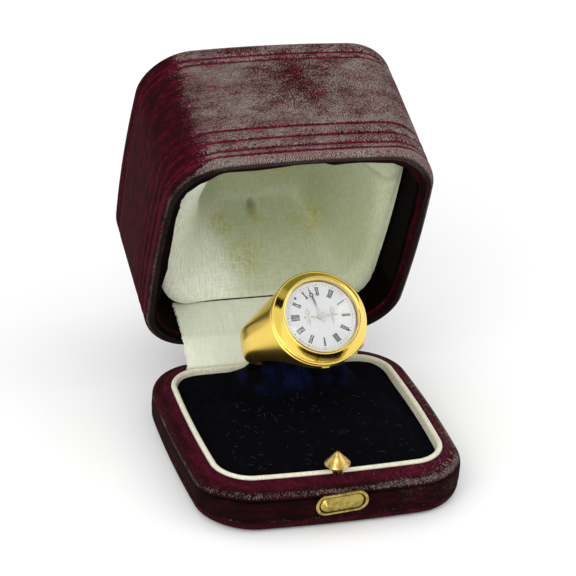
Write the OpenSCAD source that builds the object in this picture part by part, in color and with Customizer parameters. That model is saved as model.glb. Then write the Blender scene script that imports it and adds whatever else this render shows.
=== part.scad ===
/* [Box] */
// Width of the box, side to side
box_w = 50; // [48:0.5:52]
// Depth of the box, front to back, at the seam
box_d = 48.6; // [47:0.2:50]
// Radius of the box's corners seen from above
box_corner_r = 9.2; // [8:0.2:10]
// How far each side bows outwards at its middle
box_bow = 1.07; // [0.8:0.05:1.2]
// Height of the seam between base and lid above the table
seam_z = 8.6; // [8.4:0.1:9]
// Height of the lid
lid_h = 30; // [29.8:0.1:30.4]
// Width of the lid at its rim, a little more than the base's
lid_w = 51.3; // [51:0.1:51.6]
// How much further the lid's front leans out at its far end
lid_flare = 2.4; // [2:0.05:2.6]
// Angle the lid stands open
lid_open_deg = 71.5; // [60:0.5:75]
// Thickness of the lid's wall with its velvet
lid_wall = 2.1; // [1.9:0.1:2.2]

/* [Tray] */
// Width over the silk collar
collar_w = 44.1; // [43.6:0.1:44.4]
// Depth over the silk collar
collar_d = 40; // [39.6:0.1:40.4]
// Thickness of the silk collar
collar_t = 1.1; // [1:0.05:1.2]
// Height of the collar's crest above the seam
collar_top = 0.45; // [0.35:0.05:0.6]
// Height of the hump that holds the ring, above the seam
hump_top = 4.9; // [4:0.1:5.2]

/* [Ring watch] */
// Tilt of the dial, measured from lying flat to facing the front
dial_tilt = 43.1; // [42:0.1:44]
// Place of the watch head to the right of the box's middle
head_x = 2; // [1.8:0.1:2.2]
// Place of the watch head behind the box's middle
head_y = 2.5; // [2.3:0.1:2.6]
// Height of the head's widest edge above the seam
head_z = 19.19; // [19.1:0.1:19.3]
// Radius of the watch head
head_r = 9.25; // [9.1:0.05:9.3]
// Radius of the finger hole
finger_r = 9.3; // [8.8:0.1:9.4]
// Distance from the head's widest edge to the finger hole's axis
hoop_drop = 11.7; // [11.6:0.1:11.9]
// Outer radius of the hoop at its sides
hoop_side_r = 11.9; // [11.5:0.1:12]
// Outer radius of the hoop at its foot
hoop_foot_r = 10.8; // [10.6:0.1:11]
// Half the width of the band at its sides
band_side = 3.5; // [3.3:0.1:3.7]
// Half the width of the band at its foot
band_foot = 2.4; // [2.2:0.1:2.5]
// Radius of the crystal's edge
crystal_r = 7.35; // [7.2:0.05:7.4]
// Radius of the enamel dial
dial_r = 6.8; // [6.7:0.05:6.85]
// Turn of the dial in its case, clockwise
dial_turn = 31; // [0:1:60]
// Minutes past one that the hands show
minutes_shown = 52; // [0:1:59]

/* [Clasp] */
// Width of the escutcheon on the box's front
escutcheon_w = 10.1; // [9.8:0.1:10.2]
// Height of the escutcheon
escutcheon_h = 4.1; // [4:0.1:4.2]
// Angle that the escutcheon sits askew
clasp_tilt = 4; // [2:1:6]
// Radius of the catch's conical head
catch_r = 2.4; // [2.2:0.1:2.5]
// Lean of the catch to the left
catch_lean = 5; // [3:1:6]

/* [Hidden] */

// Small gap between pieces that touch
gap = 0.05;
// Steps of one rounded corner, and of one bowed side, in every loop
corner_steps = 6;
side_steps = 4;
// The back of the box is nearly straight, to carry the hinge
back_bow = 0.3;

// The hinge axis lies behind the back edge, just under the seam
hinge_y = box_d / 2 + 2.08;
hinge_z = -0.29;
barrel_r = 1.2;
pin_r = 0.5;
pin_bore_r = 0.55;
knuckle_half = 9;
lid_knuckle_half = 3;
knuckle_gap = 0.1;
leaf_t = 0.6;
leaf_y = box_d / 2 + back_bow + gap;
// The lid has always sat a little to the right of the base
lid_shift = 0.6;
// and its far end stands a little to the left of its rim
lid_skew = 0.55;

// Floors and depths of the hollows, measured from the seam
tray_floor = -6.9;
lid_ceiling = 27.6;
lining_t = 1.0;
lining_start = 1.8;
pad_rim = 6.4;
pad_round = 1.3;
pad_deepest = 26.45;
pad_half_w = 21.35;
pad_shift = 0.35;
pad_corner = 9;
pad_dip_right = 2;

// The satin strip over the hinge
strip_half_w = 17.8;
strip_t = 0.9;

// Where the clasp sits on the front
clasp_x = -0.75;
clasp_z = -3.3;
front_y = -(box_d / 2 + box_bow);
catch_y = -20.5;
stem_r = 0.8;
stem_slot_left = 1.3;
stem_slot_right = 0.75;
cone_z = 1.9;
cone_h = 2.4;

// Walls and outlines

// Bows a rounded rectangle outwards; front and back may bow differently
function bowed(p, w, f, b, bow, bow_b) =
    let (yc = (b - f) / 2, hd = (f + b) / 2,
         by = max(0, 1 - pow((p.y - yc) / hd, 2)),
         bx = max(0, 1 - pow(p.x / w, 2)),
         side = (p.y - yc) / hd)
    [p.x * (1 + bow * by / w), p.y + (side < 0 ? bow : bow_b) * side * bx];

function arc_points(cx, cy, r, a0) =
    [for (i = [0 : corner_steps]) let (a = a0 + 90 * i / corner_steps) [cx + r * cos(a), cy + r * sin(a)]];

function between(p, q) =
    [for (i = [1 : side_steps - 1]) p + (q - p) * i / side_steps];

// A closed outline: w half the width, f and b the reach to front and back, r the corner radius
function outline(w, f, b, r, bow, bow_b) =
    let (c0 = arc_points(w - r, -f + r, r, -90), c1 = arc_points(w - r, b - r, r, 0),
         c2 = arc_points(-w + r, b - r, r, 90), c3 = arc_points(-w + r, -f + r, r, 180),
         last = corner_steps,
         flat = concat(c0, between(c0[last], c1[0]), c1, between(c1[last], c2[0]),
                       c2, between(c2[last], c3[0]), c3, between(c3[last], c0[0])))
    [for (p = flat) bowed(p, w, f, b, bow, bow_b)];

function lifted(points, z) = [for (p = points) [p.x, p.y, z]];

// Skin of a pile of outlines with the same number of points; ring = true joins last to first
module skin(outlines, ring = false) {
    n = len(outlines[0]);
    rows = len(outlines);
    bands = ring ? rows : rows - 1;
    points = [for (o = outlines) for (p = o) p];
    sides = [for (j = [0 : bands - 1]) for (i = [0 : n - 1])
        let (a = j * n + i, b = j * n + (i + 1) % n, k = (j + 1) % rows,
             c = k * n + (i + 1) % n, d = k * n + i)
        each [[a, d, b], [b, d, c]]];
    caps = ring ? [] : [[for (i = [0 : n - 1]) i], [for (i = [n - 1 : -1 : 0]) (rows - 1) * n + i]];
    polyhedron(points = points, faces = concat(sides, caps), convexity = 8);
}

// The box's own outline, pulled in by inset, with its front pushed out by lean
function box_outline(inset, lean = 0) =
    outline(box_w / 2 - inset, box_d / 2 - inset + lean, box_d / 2 - inset,
            box_corner_r - inset * 0.4, box_bow, back_bow);

// The collar's outline, pulled in by inset
function collar_outline(inset) =
    outline(collar_w / 2 - inset, collar_d / 2 - inset, collar_d / 2 - inset,
            6.35 - inset, 0.78, back_bow);

// Block between a height field and the flat side at flat_z; inverted = true when the flat side is above
module field_block(x0, x1, y0, y1, n, flat_z, heights, inverted = false) {
    m = n + 1;
    s = m * m;
    top = [for (j = [0 : n]) for (i = [0 : n])
        [x0 + (x1 - x0) * i / n, y0 + (y1 - y0) * j / n, heights[j][i]]];
    edge = concat([for (i = [0 : n - 1]) i], [for (j = [0 : n - 1]) j * m + n],
                  [for (i = [0 : n - 1]) n * m + n - i], [for (j = [0 : n - 1]) (n - j) * m]);
    e = len(edge);
    foot = [for (k = edge) [top[k].x, top[k].y, flat_z]];
    cells = [for (j = [0 : n - 1]) for (i = [0 : n - 1])
        let (a = j * m + i) each [[a, a + m + 1, a + 1], [a, a + m, a + m + 1]]];
    rim = [for (k = [0 : e - 1]) let (q = (k + 1) % e)
        each [[edge[k], edge[q], s + q], [edge[k], s + q, s + k]]];
    under = [for (k = [0 : e - 1]) [s + k, s + (k + 1) % e, s + e]];
    faces = concat(cells, rim, under);
    middle = [(x0 + x1) / 2, (y0 + y1) / 2, flat_z];
    polyhedron(points = concat(top, foot, [middle]), convexity = 8,
               faces = inverted ? [for (f = faces) [for (k = [len(f) - 1 : -1 : 0]) f[k]]] : faces);
}

// Puts things measured from the seam at their height above the table
module at_seam() {
    translate([0, 0, seam_z]) children();
}

// Puts things drawn with the lid shut into the open lid
module in_lid() {
    at_seam() translate([lid_shift, hinge_y, hinge_z]) rotate([-lid_open_deg, 0, 0])
        translate([0, -hinge_y, -hinge_z]) children();
}

// Puts things drawn on the dial's axes onto the watch head: y across the band, z out of the dial
module in_ring() {
    at_seam() translate([head_x, head_y, head_z]) rotate([dial_tilt, 0, 0]) children();
}

module box_between(lo, hi) {
    translate(lo) cube(hi - lo);
}

// Base

// Columns: height from the seam, inset of the outside
base_profile = [
    [-8.6, 2.2], [-8.5, 1.3], [-8.1, 0.6], [-7.3, 0.22], [-6.4, 0.08], [-5.9, 0.2],
    [-5.4, 0.02], [-2.7, 0.0], [-2.3, 0.14], [-1.9, 0.12], [-1.2, 0.5], [-0.7, 1.15], [-0.45, 1.75]];

module base_shell() color("#5a1a2a") at_seam() difference() {
    skin(concat(
        [for (row = base_profile) lifted(box_outline(row[1]), row[0])],
        [lifted(collar_outline(-0.45), -0.15), lifted(collar_outline(-gap), -0.3),
         lifted(collar_outline(-gap), tray_floor)]));
    // room behind the collar for the tucked end of the satin strip
    box_between([-strip_half_w - 0.3, collar_d / 2 - 1, -3], [strip_half_w + 0.3, collar_d / 2 + 1.35, 1]);
    // pocket for the catch behind the front wall, and its slot to the top
    box_between([-3, -24.2, -7], [3, -19, -1.9]);
    box_between([-stem_slot_left, -21.6, -3], [stem_slot_right, -19, 1]);
    // way in for the push button
    translate([clasp_x, front_y, clasp_z]) rotate([0, -clasp_tilt, 0]) rotate([90, 0, 0])
        translate([0, 0, -1.4]) stadium(escutcheon_w - 1.3, escutcheon_h - 0.9, 3);
}

// Flat bar with round ends, lying in the XY plane
module stadium(w, h, t) {
    linear_extrude(t) union() {
        square([w - h, h], center = true);
        translate([(w - h) / 2, 0]) circle(r = h / 2, $fn = 48);
        translate([-(w - h) / 2, 0]) circle(r = h / 2, $fn = 48);
    }
}

// Columns: height from the seam, inset of the collar's section, going round it
collar_section = [
    [-2.2, 0], [-0.5, 0], [0.25, 0.08], [0.48, 0.3], [0.55, 0.55], [0.48, 0.8], [0.25, 1.02], [-2.2, 1.1]];

module collar() color("#e6e3cb") at_seam() difference() {
    skin([for (row = collar_section)
        lifted(collar_outline(row[1] * collar_t / 1.1), row[0] + collar_top - 0.55)], ring = true);
    box_between([-stem_slot_left, -23, -3], [stem_slot_right, -18, 1]);
}

// Smooth step from 0 to 1 as t goes from a to b
function ramp(t, a, b) =
    let (s = min(1, max(0, (t - a) / (b - a)))) s * s * (3 - 2 * s);

// The cushion lies low at its edges and rises at the back to the hump inside the ring
hump_mid_x = 2.2;
hump_y = 13.6;
cushion_edge = -1.4;
cushion_crown = 0.7;
function hump_height(x, y) =
    (hump_top - cushion_edge) * ramp(-abs(x - hump_mid_x), -13.2, -7.5)
    * (y < hump_y ? ramp(y, 4.5, hump_y) : 1 - 0.8 * ramp(y, hump_y, 20));
function cushion_height(x, y) =
    let (edge = min(1, min(21.4 - abs(x), 19.6 - abs(y)) / 9))
    max(cushion_edge + cushion_crown * sin(90 * max(0, edge)), cushion_edge + hump_height(x, y));

module cushion() color("#0d0f1c") {
    cells = 26;
    x_end = 22.2;
    y_end = 20.4;
    difference() {
        at_seam() intersection() {
            field_block(-x_end, x_end, -y_end, y_end, cells, tray_floor + 0.1,
                [for (j = [0 : cells]) [for (i = [0 : cells])
                    cushion_height(-x_end + 2 * x_end * i / cells, -y_end + 2 * y_end * j / cells)]]);
            translate([0, 0, -8]) linear_extrude(16) polygon(collar_outline(collar_t + 0.1));
        }
        // the slot that the hoop stands in
        in_ring() translate([0, 0, -hoop_drop]) rotate([90, 0, 0]) difference() {
            cylinder(r = hoop_side_r + 0.2, h = 2 * band_side + 0.5, center = true, $fn = 72);
            cylinder(r = finger_r - 0.25, h = 2 * band_side + 2, center = true, $fn = 72);
        }
        at_seam() box_between([-1.4, -23, -8], [1.4, -18.9, 1]);
        at_seam() box_between([-3.1, -23, -8], [3.1, -19.2, -1.8]);
    }
}

// Ring watch

// One slice of the band at angle t from the foot, as three small balls that the hull joins
module band_slice(t) {
    ball = 0.8;
    r = hoop_foot_r + (hoop_side_r - hoop_foot_r) * pow(sin(min(t, 90)), 2);
    half = band_foot + (band_side - band_foot) * (1 - cos(min(t, 90)));
    for (side = [-1, 1]) rotate([0, side * t, 0]) translate([0, 0, -(r - ball)]) {
        translate([0, half - ball, 0]) sphere(r = ball, $fn = 12);
        translate([0, -half + ball, 0]) sphere(r = ball, $fn = 12);
        translate([0, 0, -0.18]) sphere(r = ball, $fn = 12);
    }
}

case_top = -0.5;
dial_z = 0.9;

module ring_body() color("gold") in_ring() union() {
    difference() {
        hull() {
            translate([0, 0, -2.9]) cylinder(r = head_r - 0.25, h = 2.2, $fn = 64);
            translate([0, 0, -1.2]) cylinder(r = head_r - 0.05, h = 0.4, $fn = 64);
            translate([0, 0, -hoop_drop]) for (t = [0 : 12 : 108]) band_slice(t);
        }
        translate([0, 0, -hoop_drop]) rotate([90, 0, 0])
            cylinder(r = finger_r, h = 40, center = true, $fn = 96);
        translate([0, 0, case_top - 1.2]) cylinder(r = 7.2, h = 4, $fn = 72);
    }
    // the thumb piece that opens the bezel
    translate([0, -head_r + 0.35, case_top - 0.75]) rotate([90, 0, 0]) stadium(1.5, 0.5, 0.8);
}

// Columns: radius, height on the dial's axis, going round the bezel's section
bezel_section = [
    [7.0, -0.4], [9.0, -0.4], [9.18, -0.25], [9.25, 0.02], [9.18, 0.3], [8.95, 0.52], [8.6, 0.6],
    [8.3, 0.55], [7.9, 1.4], [7.72, 2.15], [7.6, 2.3], [7.45, 2.3], [7.4, 2.2], [7.4, 1.75],
    [7.0, 1.75], [7.0, 1.2], [6.9, 1.1], [7.0, 1.0]];

module bezel() color("gold") in_ring()
    rotate_extrude($fn = 96) polygon(bezel_section);

// The dome is the slice between two balls above the bezel's seat
crystal_rise = 1.25;
crystal_t = 0.7;
crystal_foot = 1.8;
crystal_edge = 2.2;
dome_r = (crystal_r * crystal_r + crystal_rise * crystal_rise) / (2 * crystal_rise);

module crystal() color("white", 0.3) in_ring() difference() {
    union() {
        translate([0, 0, crystal_foot]) cylinder(r = crystal_r, h = crystal_edge - crystal_foot, $fn = 96);
        intersection() {
            translate([0, 0, crystal_edge + crystal_rise - dome_r]) sphere(r = dome_r, $fn = 96);
            translate([0, 0, crystal_edge - 0.01]) cylinder(r = crystal_r, h = 3, $fn = 96);
        }
    }
    intersection() {
        translate([0, 0, crystal_edge + crystal_rise - dome_r]) sphere(r = dome_r - crystal_t, $fn = 96);
        translate([0, 0, crystal_foot - 1]) cylinder(r = crystal_r - crystal_t, h = 4, $fn = 96);
    }
    translate([0, 0, crystal_foot - 1]) cylinder(r = crystal_r - crystal_t, h = 1.1, $fn = 96);
}

dial_t = 0.4;
post_r = 0.3;
post_bore_r = 0.34;

module dial() color("#f4f4f0") in_ring() difference() {
    translate([0, 0, dial_z - dial_t]) cylinder(r = dial_r, h = dial_t, $fn = 96);
    translate([0, 0, dial_z - dial_t - 1]) cylinder(r = post_bore_r, h = 3, $fn = 32);
}

module hand_post() color("#2b2622") in_ring() union() {
    translate([0, 0, -1.4]) cylinder(r = post_r, h = dial_z + 2.25, $fn = 32);
    translate([0, 0, -1.65]) cylinder(r = 2.5, h = 0.4, $fn = 32);
}

// A hand with a round hub, a slim shaft, an open ring and a point
module watch_hand(length, eye_at, eye_r, z, turn) {
    hand_t = 0.12;
    shaft_w = 0.22;
    in_ring() rotate([0, 0, -turn]) translate([0, 0, z]) linear_extrude(hand_t) difference() {
        union() {
            circle(r = 0.6, $fn = 32);
            translate([-shaft_w / 2, 0]) square([shaft_w, eye_at - eye_r + 0.1]);
            translate([0, eye_at]) circle(r = eye_r, $fn = 32);
            polygon([[-shaft_w / 2, eye_at + eye_r - 0.08], [shaft_w / 2, eye_at + eye_r - 0.08], [0, length]]);
            translate([-shaft_w / 2, -1.3]) square([shaft_w, 1.3]);
        }
        circle(r = post_bore_r, $fn = 32);
        translate([0, eye_at]) circle(r = eye_r - 0.16, $fn = 32);
    }
}

minute_turn = dial_turn + 6 * minutes_shown;
hour_turn = dial_turn + 30 + minutes_shown / 2;
module hour_hand() color("#2b2622") watch_hand(3.6, 2.2, 0.38, 1.1, hour_turn);
module minute_hand() color("#2b2622") watch_hand(6.1, 4.3, 0.38, 1.38, minute_turn);

// Clasp

module on_front() {
    at_seam() translate([clasp_x, front_y, clasp_z]) rotate([0, -clasp_tilt, 0]) rotate([90, 0, 0]) children();
}

module escutcheon() color("#b8933f") on_front() difference() {
    translate([0, 0, gap]) stadium(escutcheon_w, escutcheon_h, 0.6);
    translate([0, 0, -1]) stadium(escutcheon_w - 1.3, escutcheon_h - 0.9, 3);
}

// The button's front is a low gable with sloping ends
button_w = 8.3;
button_h = 2.9;
module push_button() color("#a8873c") union() {
    on_front() hull() {
        translate([0, 0, -0.45]) stadium(button_w, button_h, 0.9);
        translate([0, 0.1, 0.95]) stadium(button_w - 1.8, 0.5, 0.2);
    }
    at_seam() translate([clasp_x, front_y + 3.05, clasp_z]) rotate([90, 0, 0]) cylinder(r = 0.9, h = 3, $fn = 32);
}

// The foot plate of the catch stands behind the button, its stem rises beside the collar
module catch() color("#b8933f") at_seam() union() {
    box_between([-2.4, -22.25, -6.2], [2.4, -21.5, -2.3]);
    box_between([-stem_r, -22, -3.4], [stem_r, catch_y, -2.3]);
    translate([0, catch_y, -3.0]) rotate([0, -catch_lean, 0]) union() {
        translate([0, 0, -0.4]) cylinder(r = stem_r, h = cone_z + 3.5, $fn = 32);
        translate([0, 0, cone_z + 2.9]) cylinder(r1 = catch_r - 0.25, r2 = catch_r, h = 0.2, $fn = 48);
        translate([0, 0, cone_z + 3.1]) cylinder(r1 = catch_r, r2 = 0.25, h = cone_h, $fn = 48);
    }
}

// Lid

// Columns: height from the seam with the lid shut, inset of the outside
lid_profile = [
    [0, 1.05], [0.15, 0.5], [0.6, 0.1], [1.3, 0.0], [2.6, 0.05], [3.2, 0.3], [3.8, 0.02], [4.9, 0.0],
    [5.5, 0.26], [6.1, 0.0], [7.4, 0.0], [8.0, 0.2], [8.6, 0.0], [24.2, 0.0], [24.9, 0.2], [25.7, 0.05],
    [26.3, 0.26], [26.9, 0.05], [28.2, 0.08], [29.1, 0.5], [29.7, 1.2], [30, 2.6]];

function lid_lean(z) = lid_flare * z / lid_h;
function side_narrowing(z) = 0.65 * z / lid_h;
function back_narrowing(z) = 0.35 * z / lid_h;
function skewed(points, z) = [for (p = points) [p.x - lid_skew * z / lid_h, p.y, z]];
function lid_outline(inset, z) =
    skewed(outline(lid_w / 2 - inset - side_narrowing(z), box_d / 2 - inset + lid_lean(z),
                   box_d / 2 - inset - back_narrowing(z), box_corner_r - 0.4 * (inset + back_narrowing(z)),
                   box_bow, back_bow), z);

module lid_shell() color("#66243a") in_lid()
    skin(concat(
        [lid_outline(lid_wall, lid_ceiling), lid_outline(lid_wall, 0.6), lid_outline(1.65, 0.12)],
        [for (row = lid_profile) lid_outline(row[1], row[0])]));

// The black lining stops short of the rim; it leaves room for the strip and for the catch
module lid_lining() color("#0b0b0d") in_lid() difference() {
    skin([lid_outline(lid_wall + gap, lining_start), lid_outline(lid_wall + gap, lid_ceiling - gap),
          lid_outline(lid_wall + lining_t, lid_ceiling - gap), lid_outline(lid_wall + lining_t, lining_start)],
         ring = true);
    box_between([-strip_half_w - 0.4 - lid_shift, 15, 1], [strip_half_w + 0.4 - lid_shift, 24, 7.2]);
    box_between([-3.6, -25, 1], [3.2, -18, 6]);
}

// The pad's face keeps clear of the ring: behind it, in front of it with one long slope, and beside it
ring_half = 9.9;
function behind_ring(y) = 24.9 - 2.24 * (y - 11.2);
function before_ring(y) = pad_deepest - 0.8 * (3.18 - y);
function beside_ring(x) =
    let (d = abs(x - head_x + lid_shift) - ring_half, fall = x > head_x ? 2.1 : 1.45)
    d < 2 ? pad_deepest - 3.2 * max(0, d) : pad_deepest - 6.4 - fall * (d - 2);
// The pad is fuller at its right, and rolls over softly into the ring's print
function pad_edge(x, y) =
    let (wall = min(pad_half_w - abs(x - pad_shift), 21 - y, 22.3 + y))
    pad_rim - pad_dip_right * ramp(x, 4, 20) + pad_round * (1 - sqrt(1 - pow(1 - min(1, max(0, wall / 2.5)), 2)));
function soft_max(a, b, k) = max(a, b) + k / 4 * pow(max(0, 1 - abs(a - b) / k), 2);
function pad_height(x, y) =
    soft_max(pad_edge(x, y), min(pad_deepest, behind_ring(y), before_ring(y), beside_ring(x)), 5);
function pad_outline(z) =
    [for (p = skewed(outline(pad_half_w - side_narrowing(z), box_d / 2 - 3.4 + lid_lean(8),
                             box_d / 2 - 3.5, pad_corner, box_bow, back_bow), z)) [p.x + pad_shift, p.y, z]];

module lid_pad() color("#cdd3bb") in_lid() {
    cells = 30;
    x_end = 24;
    y_front = -25;
    y_back = 22;
    intersection() {
        field_block(-x_end, x_end, y_front, y_back, cells, lid_ceiling - 0.1,
            [for (j = [0 : cells]) [for (i = [0 : cells])
                pad_height(-x_end + 2 * x_end * i / cells, y_front + (y_back - y_front) * j / cells)]],
            inverted = true);
        skin([pad_outline(3), pad_outline(lid_ceiling + 1)]);
    }
}

// Hinge

module knuckle(from, to) {
    translate([from, hinge_y, hinge_z]) rotate([0, 90, 0]) cylinder(r = barrel_r, h = to - from, $fn = 48);
}

module pin_bore() {
    translate([-knuckle_half - 1, hinge_y, hinge_z]) rotate([0, 90, 0])
        cylinder(r = pin_bore_r, h = 2 * knuckle_half + 2, $fn = 48);
}

module hinge_base() color("#b8933f") at_seam() difference() {
    union() {
        box_between([-knuckle_half, leaf_y, -5.5], [knuckle_half, leaf_y + leaf_t, hinge_z - 0.5]);
        for (side = [-1, 1]) {
            from = side < 0 ? -knuckle_half : lid_knuckle_half + knuckle_gap;
            to = side < 0 ? -lid_knuckle_half - knuckle_gap : knuckle_half;
            knuckle(from, to);
            box_between([from, leaf_y, hinge_z - 1.1], [to, hinge_y, hinge_z - 0.5]);
        }
    }
    pin_bore();
    box_between([-lid_knuckle_half - knuckle_gap, leaf_y - 1, -1.9], [lid_knuckle_half + knuckle_gap, 30, 2]);
}

// The lid's knuckle stands straight over the base's, so it is set back by the lid's own shift
module hinge_lid() color("#b8933f") in_lid() difference() {
    union() {
        box_between([-knuckle_half, leaf_y, 1.3], [knuckle_half, leaf_y + leaf_t, 6]);
        translate([-lid_shift, 0, 0]) {
            knuckle(-lid_knuckle_half, lid_knuckle_half);
            box_between([-lid_knuckle_half, leaf_y, hinge_z + 0.5], [lid_knuckle_half, hinge_y, hinge_z + 1.1]);
            box_between([-lid_knuckle_half, leaf_y, hinge_z + 0.5], [lid_knuckle_half, leaf_y + leaf_t, 1.5]);
        }
    }
    pin_bore();
}

module hinge_pin() color("#b8933f") at_seam()
    translate([-knuckle_half, hinge_y, hinge_z]) rotate([0, 90, 0])
        cylinder(r = pin_r, h = 2 * knuckle_half, $fn = 48);

// Place of a point of the shut lid once the lid stands open, in the YZ plane from the seam
function opened(y, z) =
    let (dy = y - hinge_y, dz = z - hinge_z)
    [hinge_y + dy * cos(lid_open_deg) + dz * sin(lid_open_deg),
     hinge_z - dy * sin(lid_open_deg) + dz * cos(lid_open_deg)];

// How far the strip bends in, where it meets the round corners of the lid's wall
function corner_dip(x) =
    let (r = box_corner_r - 0.4 * lid_wall - gap,
         into = abs(x - lid_shift) - (lid_w / 2 - lid_wall - r))
    r - sqrt(r * r - pow(max(0, into), 2));

// Middle line of the satin strip at x, from the lid's back wall down to the slot behind the collar
strip_wall_y = box_d / 2 - lid_wall - 0.2 - strip_t / 2;
function strip_line(x) =
    let (wall_y = strip_wall_y - corner_dip(x))
    [opened(wall_y, 6.8), opened(wall_y, 0.4), opened(wall_y, -0.4),
     [23.2, 2.7], [21.6, 1.2], [20.83, 0], [20.8, -2.6]];

function strip_side(line, side) = [for (i = [0 : len(line) - 1])
    let (a = line[max(0, i - 1)], b = line[min(len(line) - 1, i + 1)],
         d = (b - a) / norm(b - a))
    line[i] + side * strip_t / 2 * [-d.y, d.x]];

function strip_section(x) =
    let (line = strip_line(x), lower = strip_side(line, 1), last = len(line) - 1)
    [for (p = concat(strip_side(line, -1), [for (i = [last : -1 : 0]) lower[i]])) [x, p.x, p.y]];

module hinge_strip() color("#d5dac4") at_seam()
    skin([for (x = [-strip_half_w, -16.5, -15.2, -14, 15, 16.4, strip_half_w]) strip_section(x)]);

base_shell();
collar();
cushion();
escutcheon();
hinge_base();
hinge_pin();
ring_body();
bezel();
crystal();
dial();
hand_post();
hour_hand();
minute_hand();
push_button();
catch();
lid_shell();
lid_lining();
lid_pad();
hinge_lid();
hinge_strip();
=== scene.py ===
"""A gold ring watch standing in its open velvet ring box."""
import math

import bmesh
import bpy
from mathutils import Matrix, Vector, noise
from mathutils.kdtree import KDTree


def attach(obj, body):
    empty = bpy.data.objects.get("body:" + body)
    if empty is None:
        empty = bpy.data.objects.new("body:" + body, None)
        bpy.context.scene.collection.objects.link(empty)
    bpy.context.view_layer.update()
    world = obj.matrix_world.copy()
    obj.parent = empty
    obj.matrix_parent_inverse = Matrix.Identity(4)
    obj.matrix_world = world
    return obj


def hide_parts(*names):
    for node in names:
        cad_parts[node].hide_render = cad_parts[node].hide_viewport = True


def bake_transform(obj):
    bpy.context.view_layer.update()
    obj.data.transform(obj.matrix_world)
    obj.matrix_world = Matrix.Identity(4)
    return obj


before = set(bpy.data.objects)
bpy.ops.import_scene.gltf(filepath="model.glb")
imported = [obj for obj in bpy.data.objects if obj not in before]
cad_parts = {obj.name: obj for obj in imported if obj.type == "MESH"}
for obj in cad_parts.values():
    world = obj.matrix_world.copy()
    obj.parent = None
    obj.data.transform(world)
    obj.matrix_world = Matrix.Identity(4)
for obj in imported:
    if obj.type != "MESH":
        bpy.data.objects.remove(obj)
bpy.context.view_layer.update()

MM = 0.001

# Places shared with the solids, in millimetres; heights are counted from the seam
SEAM = 8.6
BOX_HALF_W = 25.0
BOX_HALF_D = 24.3
BOX_CORNER = 9.2
BOX_BOW = 1.07
BACK_BOW = 0.3
COLLAR_HALF_W = 22.05
COLLAR_HALF_D = 20.0
COLLAR_CORNER = 6.35
COLLAR_BOW = 0.78
LID_H = 30.0
LID_HALF_W = 25.65
LID_FLARE = 2.4
SIDE_NARROWING = 0.65
BACK_NARROWING = 0.35
LID_SKEW = 0.55
LID_WALL = 2.1
LID_CEILING = 27.6
LID_SHIFT = 0.6
LID_OPEN = math.radians(71.5)
HINGE_Y = 26.38
HINGE_Z = -0.29
PAD_HALF_W = 21.35
PAD_SHIFT = 0.35
PAD_CORNER = 7.4
PAD_FOOT = 27.45
HEAD = Vector((2.0, 2.5, 19.19))
DIAL_TILT = math.radians(43.1)
HOOP_DROP = 11.7
FINGER_R = 9.3
DIAL_TURN = 31
DIAL_TOP = 0.9
PAINT_LIFT = 0.004
PAINT_THICK = 0.012

# Where a piece drawn round its own axes goes, as matrices in metres
BASE_PLACE = Matrix.Translation((0, 0, SEAM * MM))
LID_PLACE = (Matrix.Translation((LID_SHIFT * MM, HINGE_Y * MM, (SEAM + HINGE_Z) * MM))
             @ Matrix.Rotation(-LID_OPEN, 4, "X")
             @ Matrix.Translation((0, -HINGE_Y * MM, -HINGE_Z * MM)))
HEAD_PLACE = (Matrix.Translation((HEAD.x * MM, HEAD.y * MM, (HEAD.z + SEAM) * MM))
              @ Matrix.Rotation(DIAL_TILT, 4, "X"))


# Handling of pieces

def deselect():
    if bpy.context.object and bpy.context.object.mode != "OBJECT":
        bpy.ops.object.mode_set(mode="OBJECT")
    bpy.ops.object.select_all(action="DESELECT")


def pick(*pieces):
    deselect()
    for piece in pieces:
        piece.select_set(True)
    bpy.context.view_layer.objects.active = pieces[0]


def named(name):
    piece = bpy.context.object
    piece.name = name
    piece.data.name = name
    return piece


def edit(piece):
    pick(piece)
    bpy.ops.object.mode_set(mode="EDIT")
    bpy.ops.mesh.select_mode(type="VERT")
    return bmesh.from_edit_mesh(piece.data)


def leave():
    bpy.ops.object.mode_set(mode="OBJECT")


def settle(piece, place=Matrix.Identity(4)):
    """Puts the piece's place into its mesh, so that its object sits at the origin."""
    piece.matrix_world = place @ piece.matrix_world
    pick(piece)
    bpy.ops.object.transform_apply(location=True, rotation=True, scale=True)


def finish_with(piece, kind, **values):
    """Adds one modifier and applies it."""
    modifier = piece.modifiers.new(kind.title(), kind)
    for key, value in values.items():
        setattr(modifier, key, value)
    pick(piece)
    bpy.ops.object.modifier_apply(modifier=modifier.name)


def weld(pieces, name):
    pick(*pieces)
    bpy.ops.object.join()
    return named(name)


def outward(piece, doubles=0.0):
    """Merges doubles and turns all faces outwards."""
    edit(piece)
    bpy.ops.mesh.select_all(action="SELECT")
    if doubles:
        bpy.ops.mesh.remove_doubles(threshold=doubles)
    bpy.ops.mesh.normals_make_consistent(inside=False)
    leave()


def smooth(piece, angle=35):
    pick(piece)
    bpy.ops.object.shade_smooth_by_angle(angle=math.radians(angle))


def cut(piece, cutters):
    for cutter in cutters:
        finish_with(piece, "BOOLEAN", operation="DIFFERENCE", object=cutter, solver="EXACT")
    for cutter in cutters:
        bpy.data.objects.remove(cutter)


def dress(piece, finish, body, slot, *nodes):
    piece.data.materials.clear()
    piece.data.materials.append(finish)
    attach(piece, body)
    if nodes:
        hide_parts(*nodes)


# Outlines

def ramp(t, a, b):
    s = min(1.0, max(0.0, (t - a) / (b - a)))
    return s * s * (3 - 2 * s)


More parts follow.
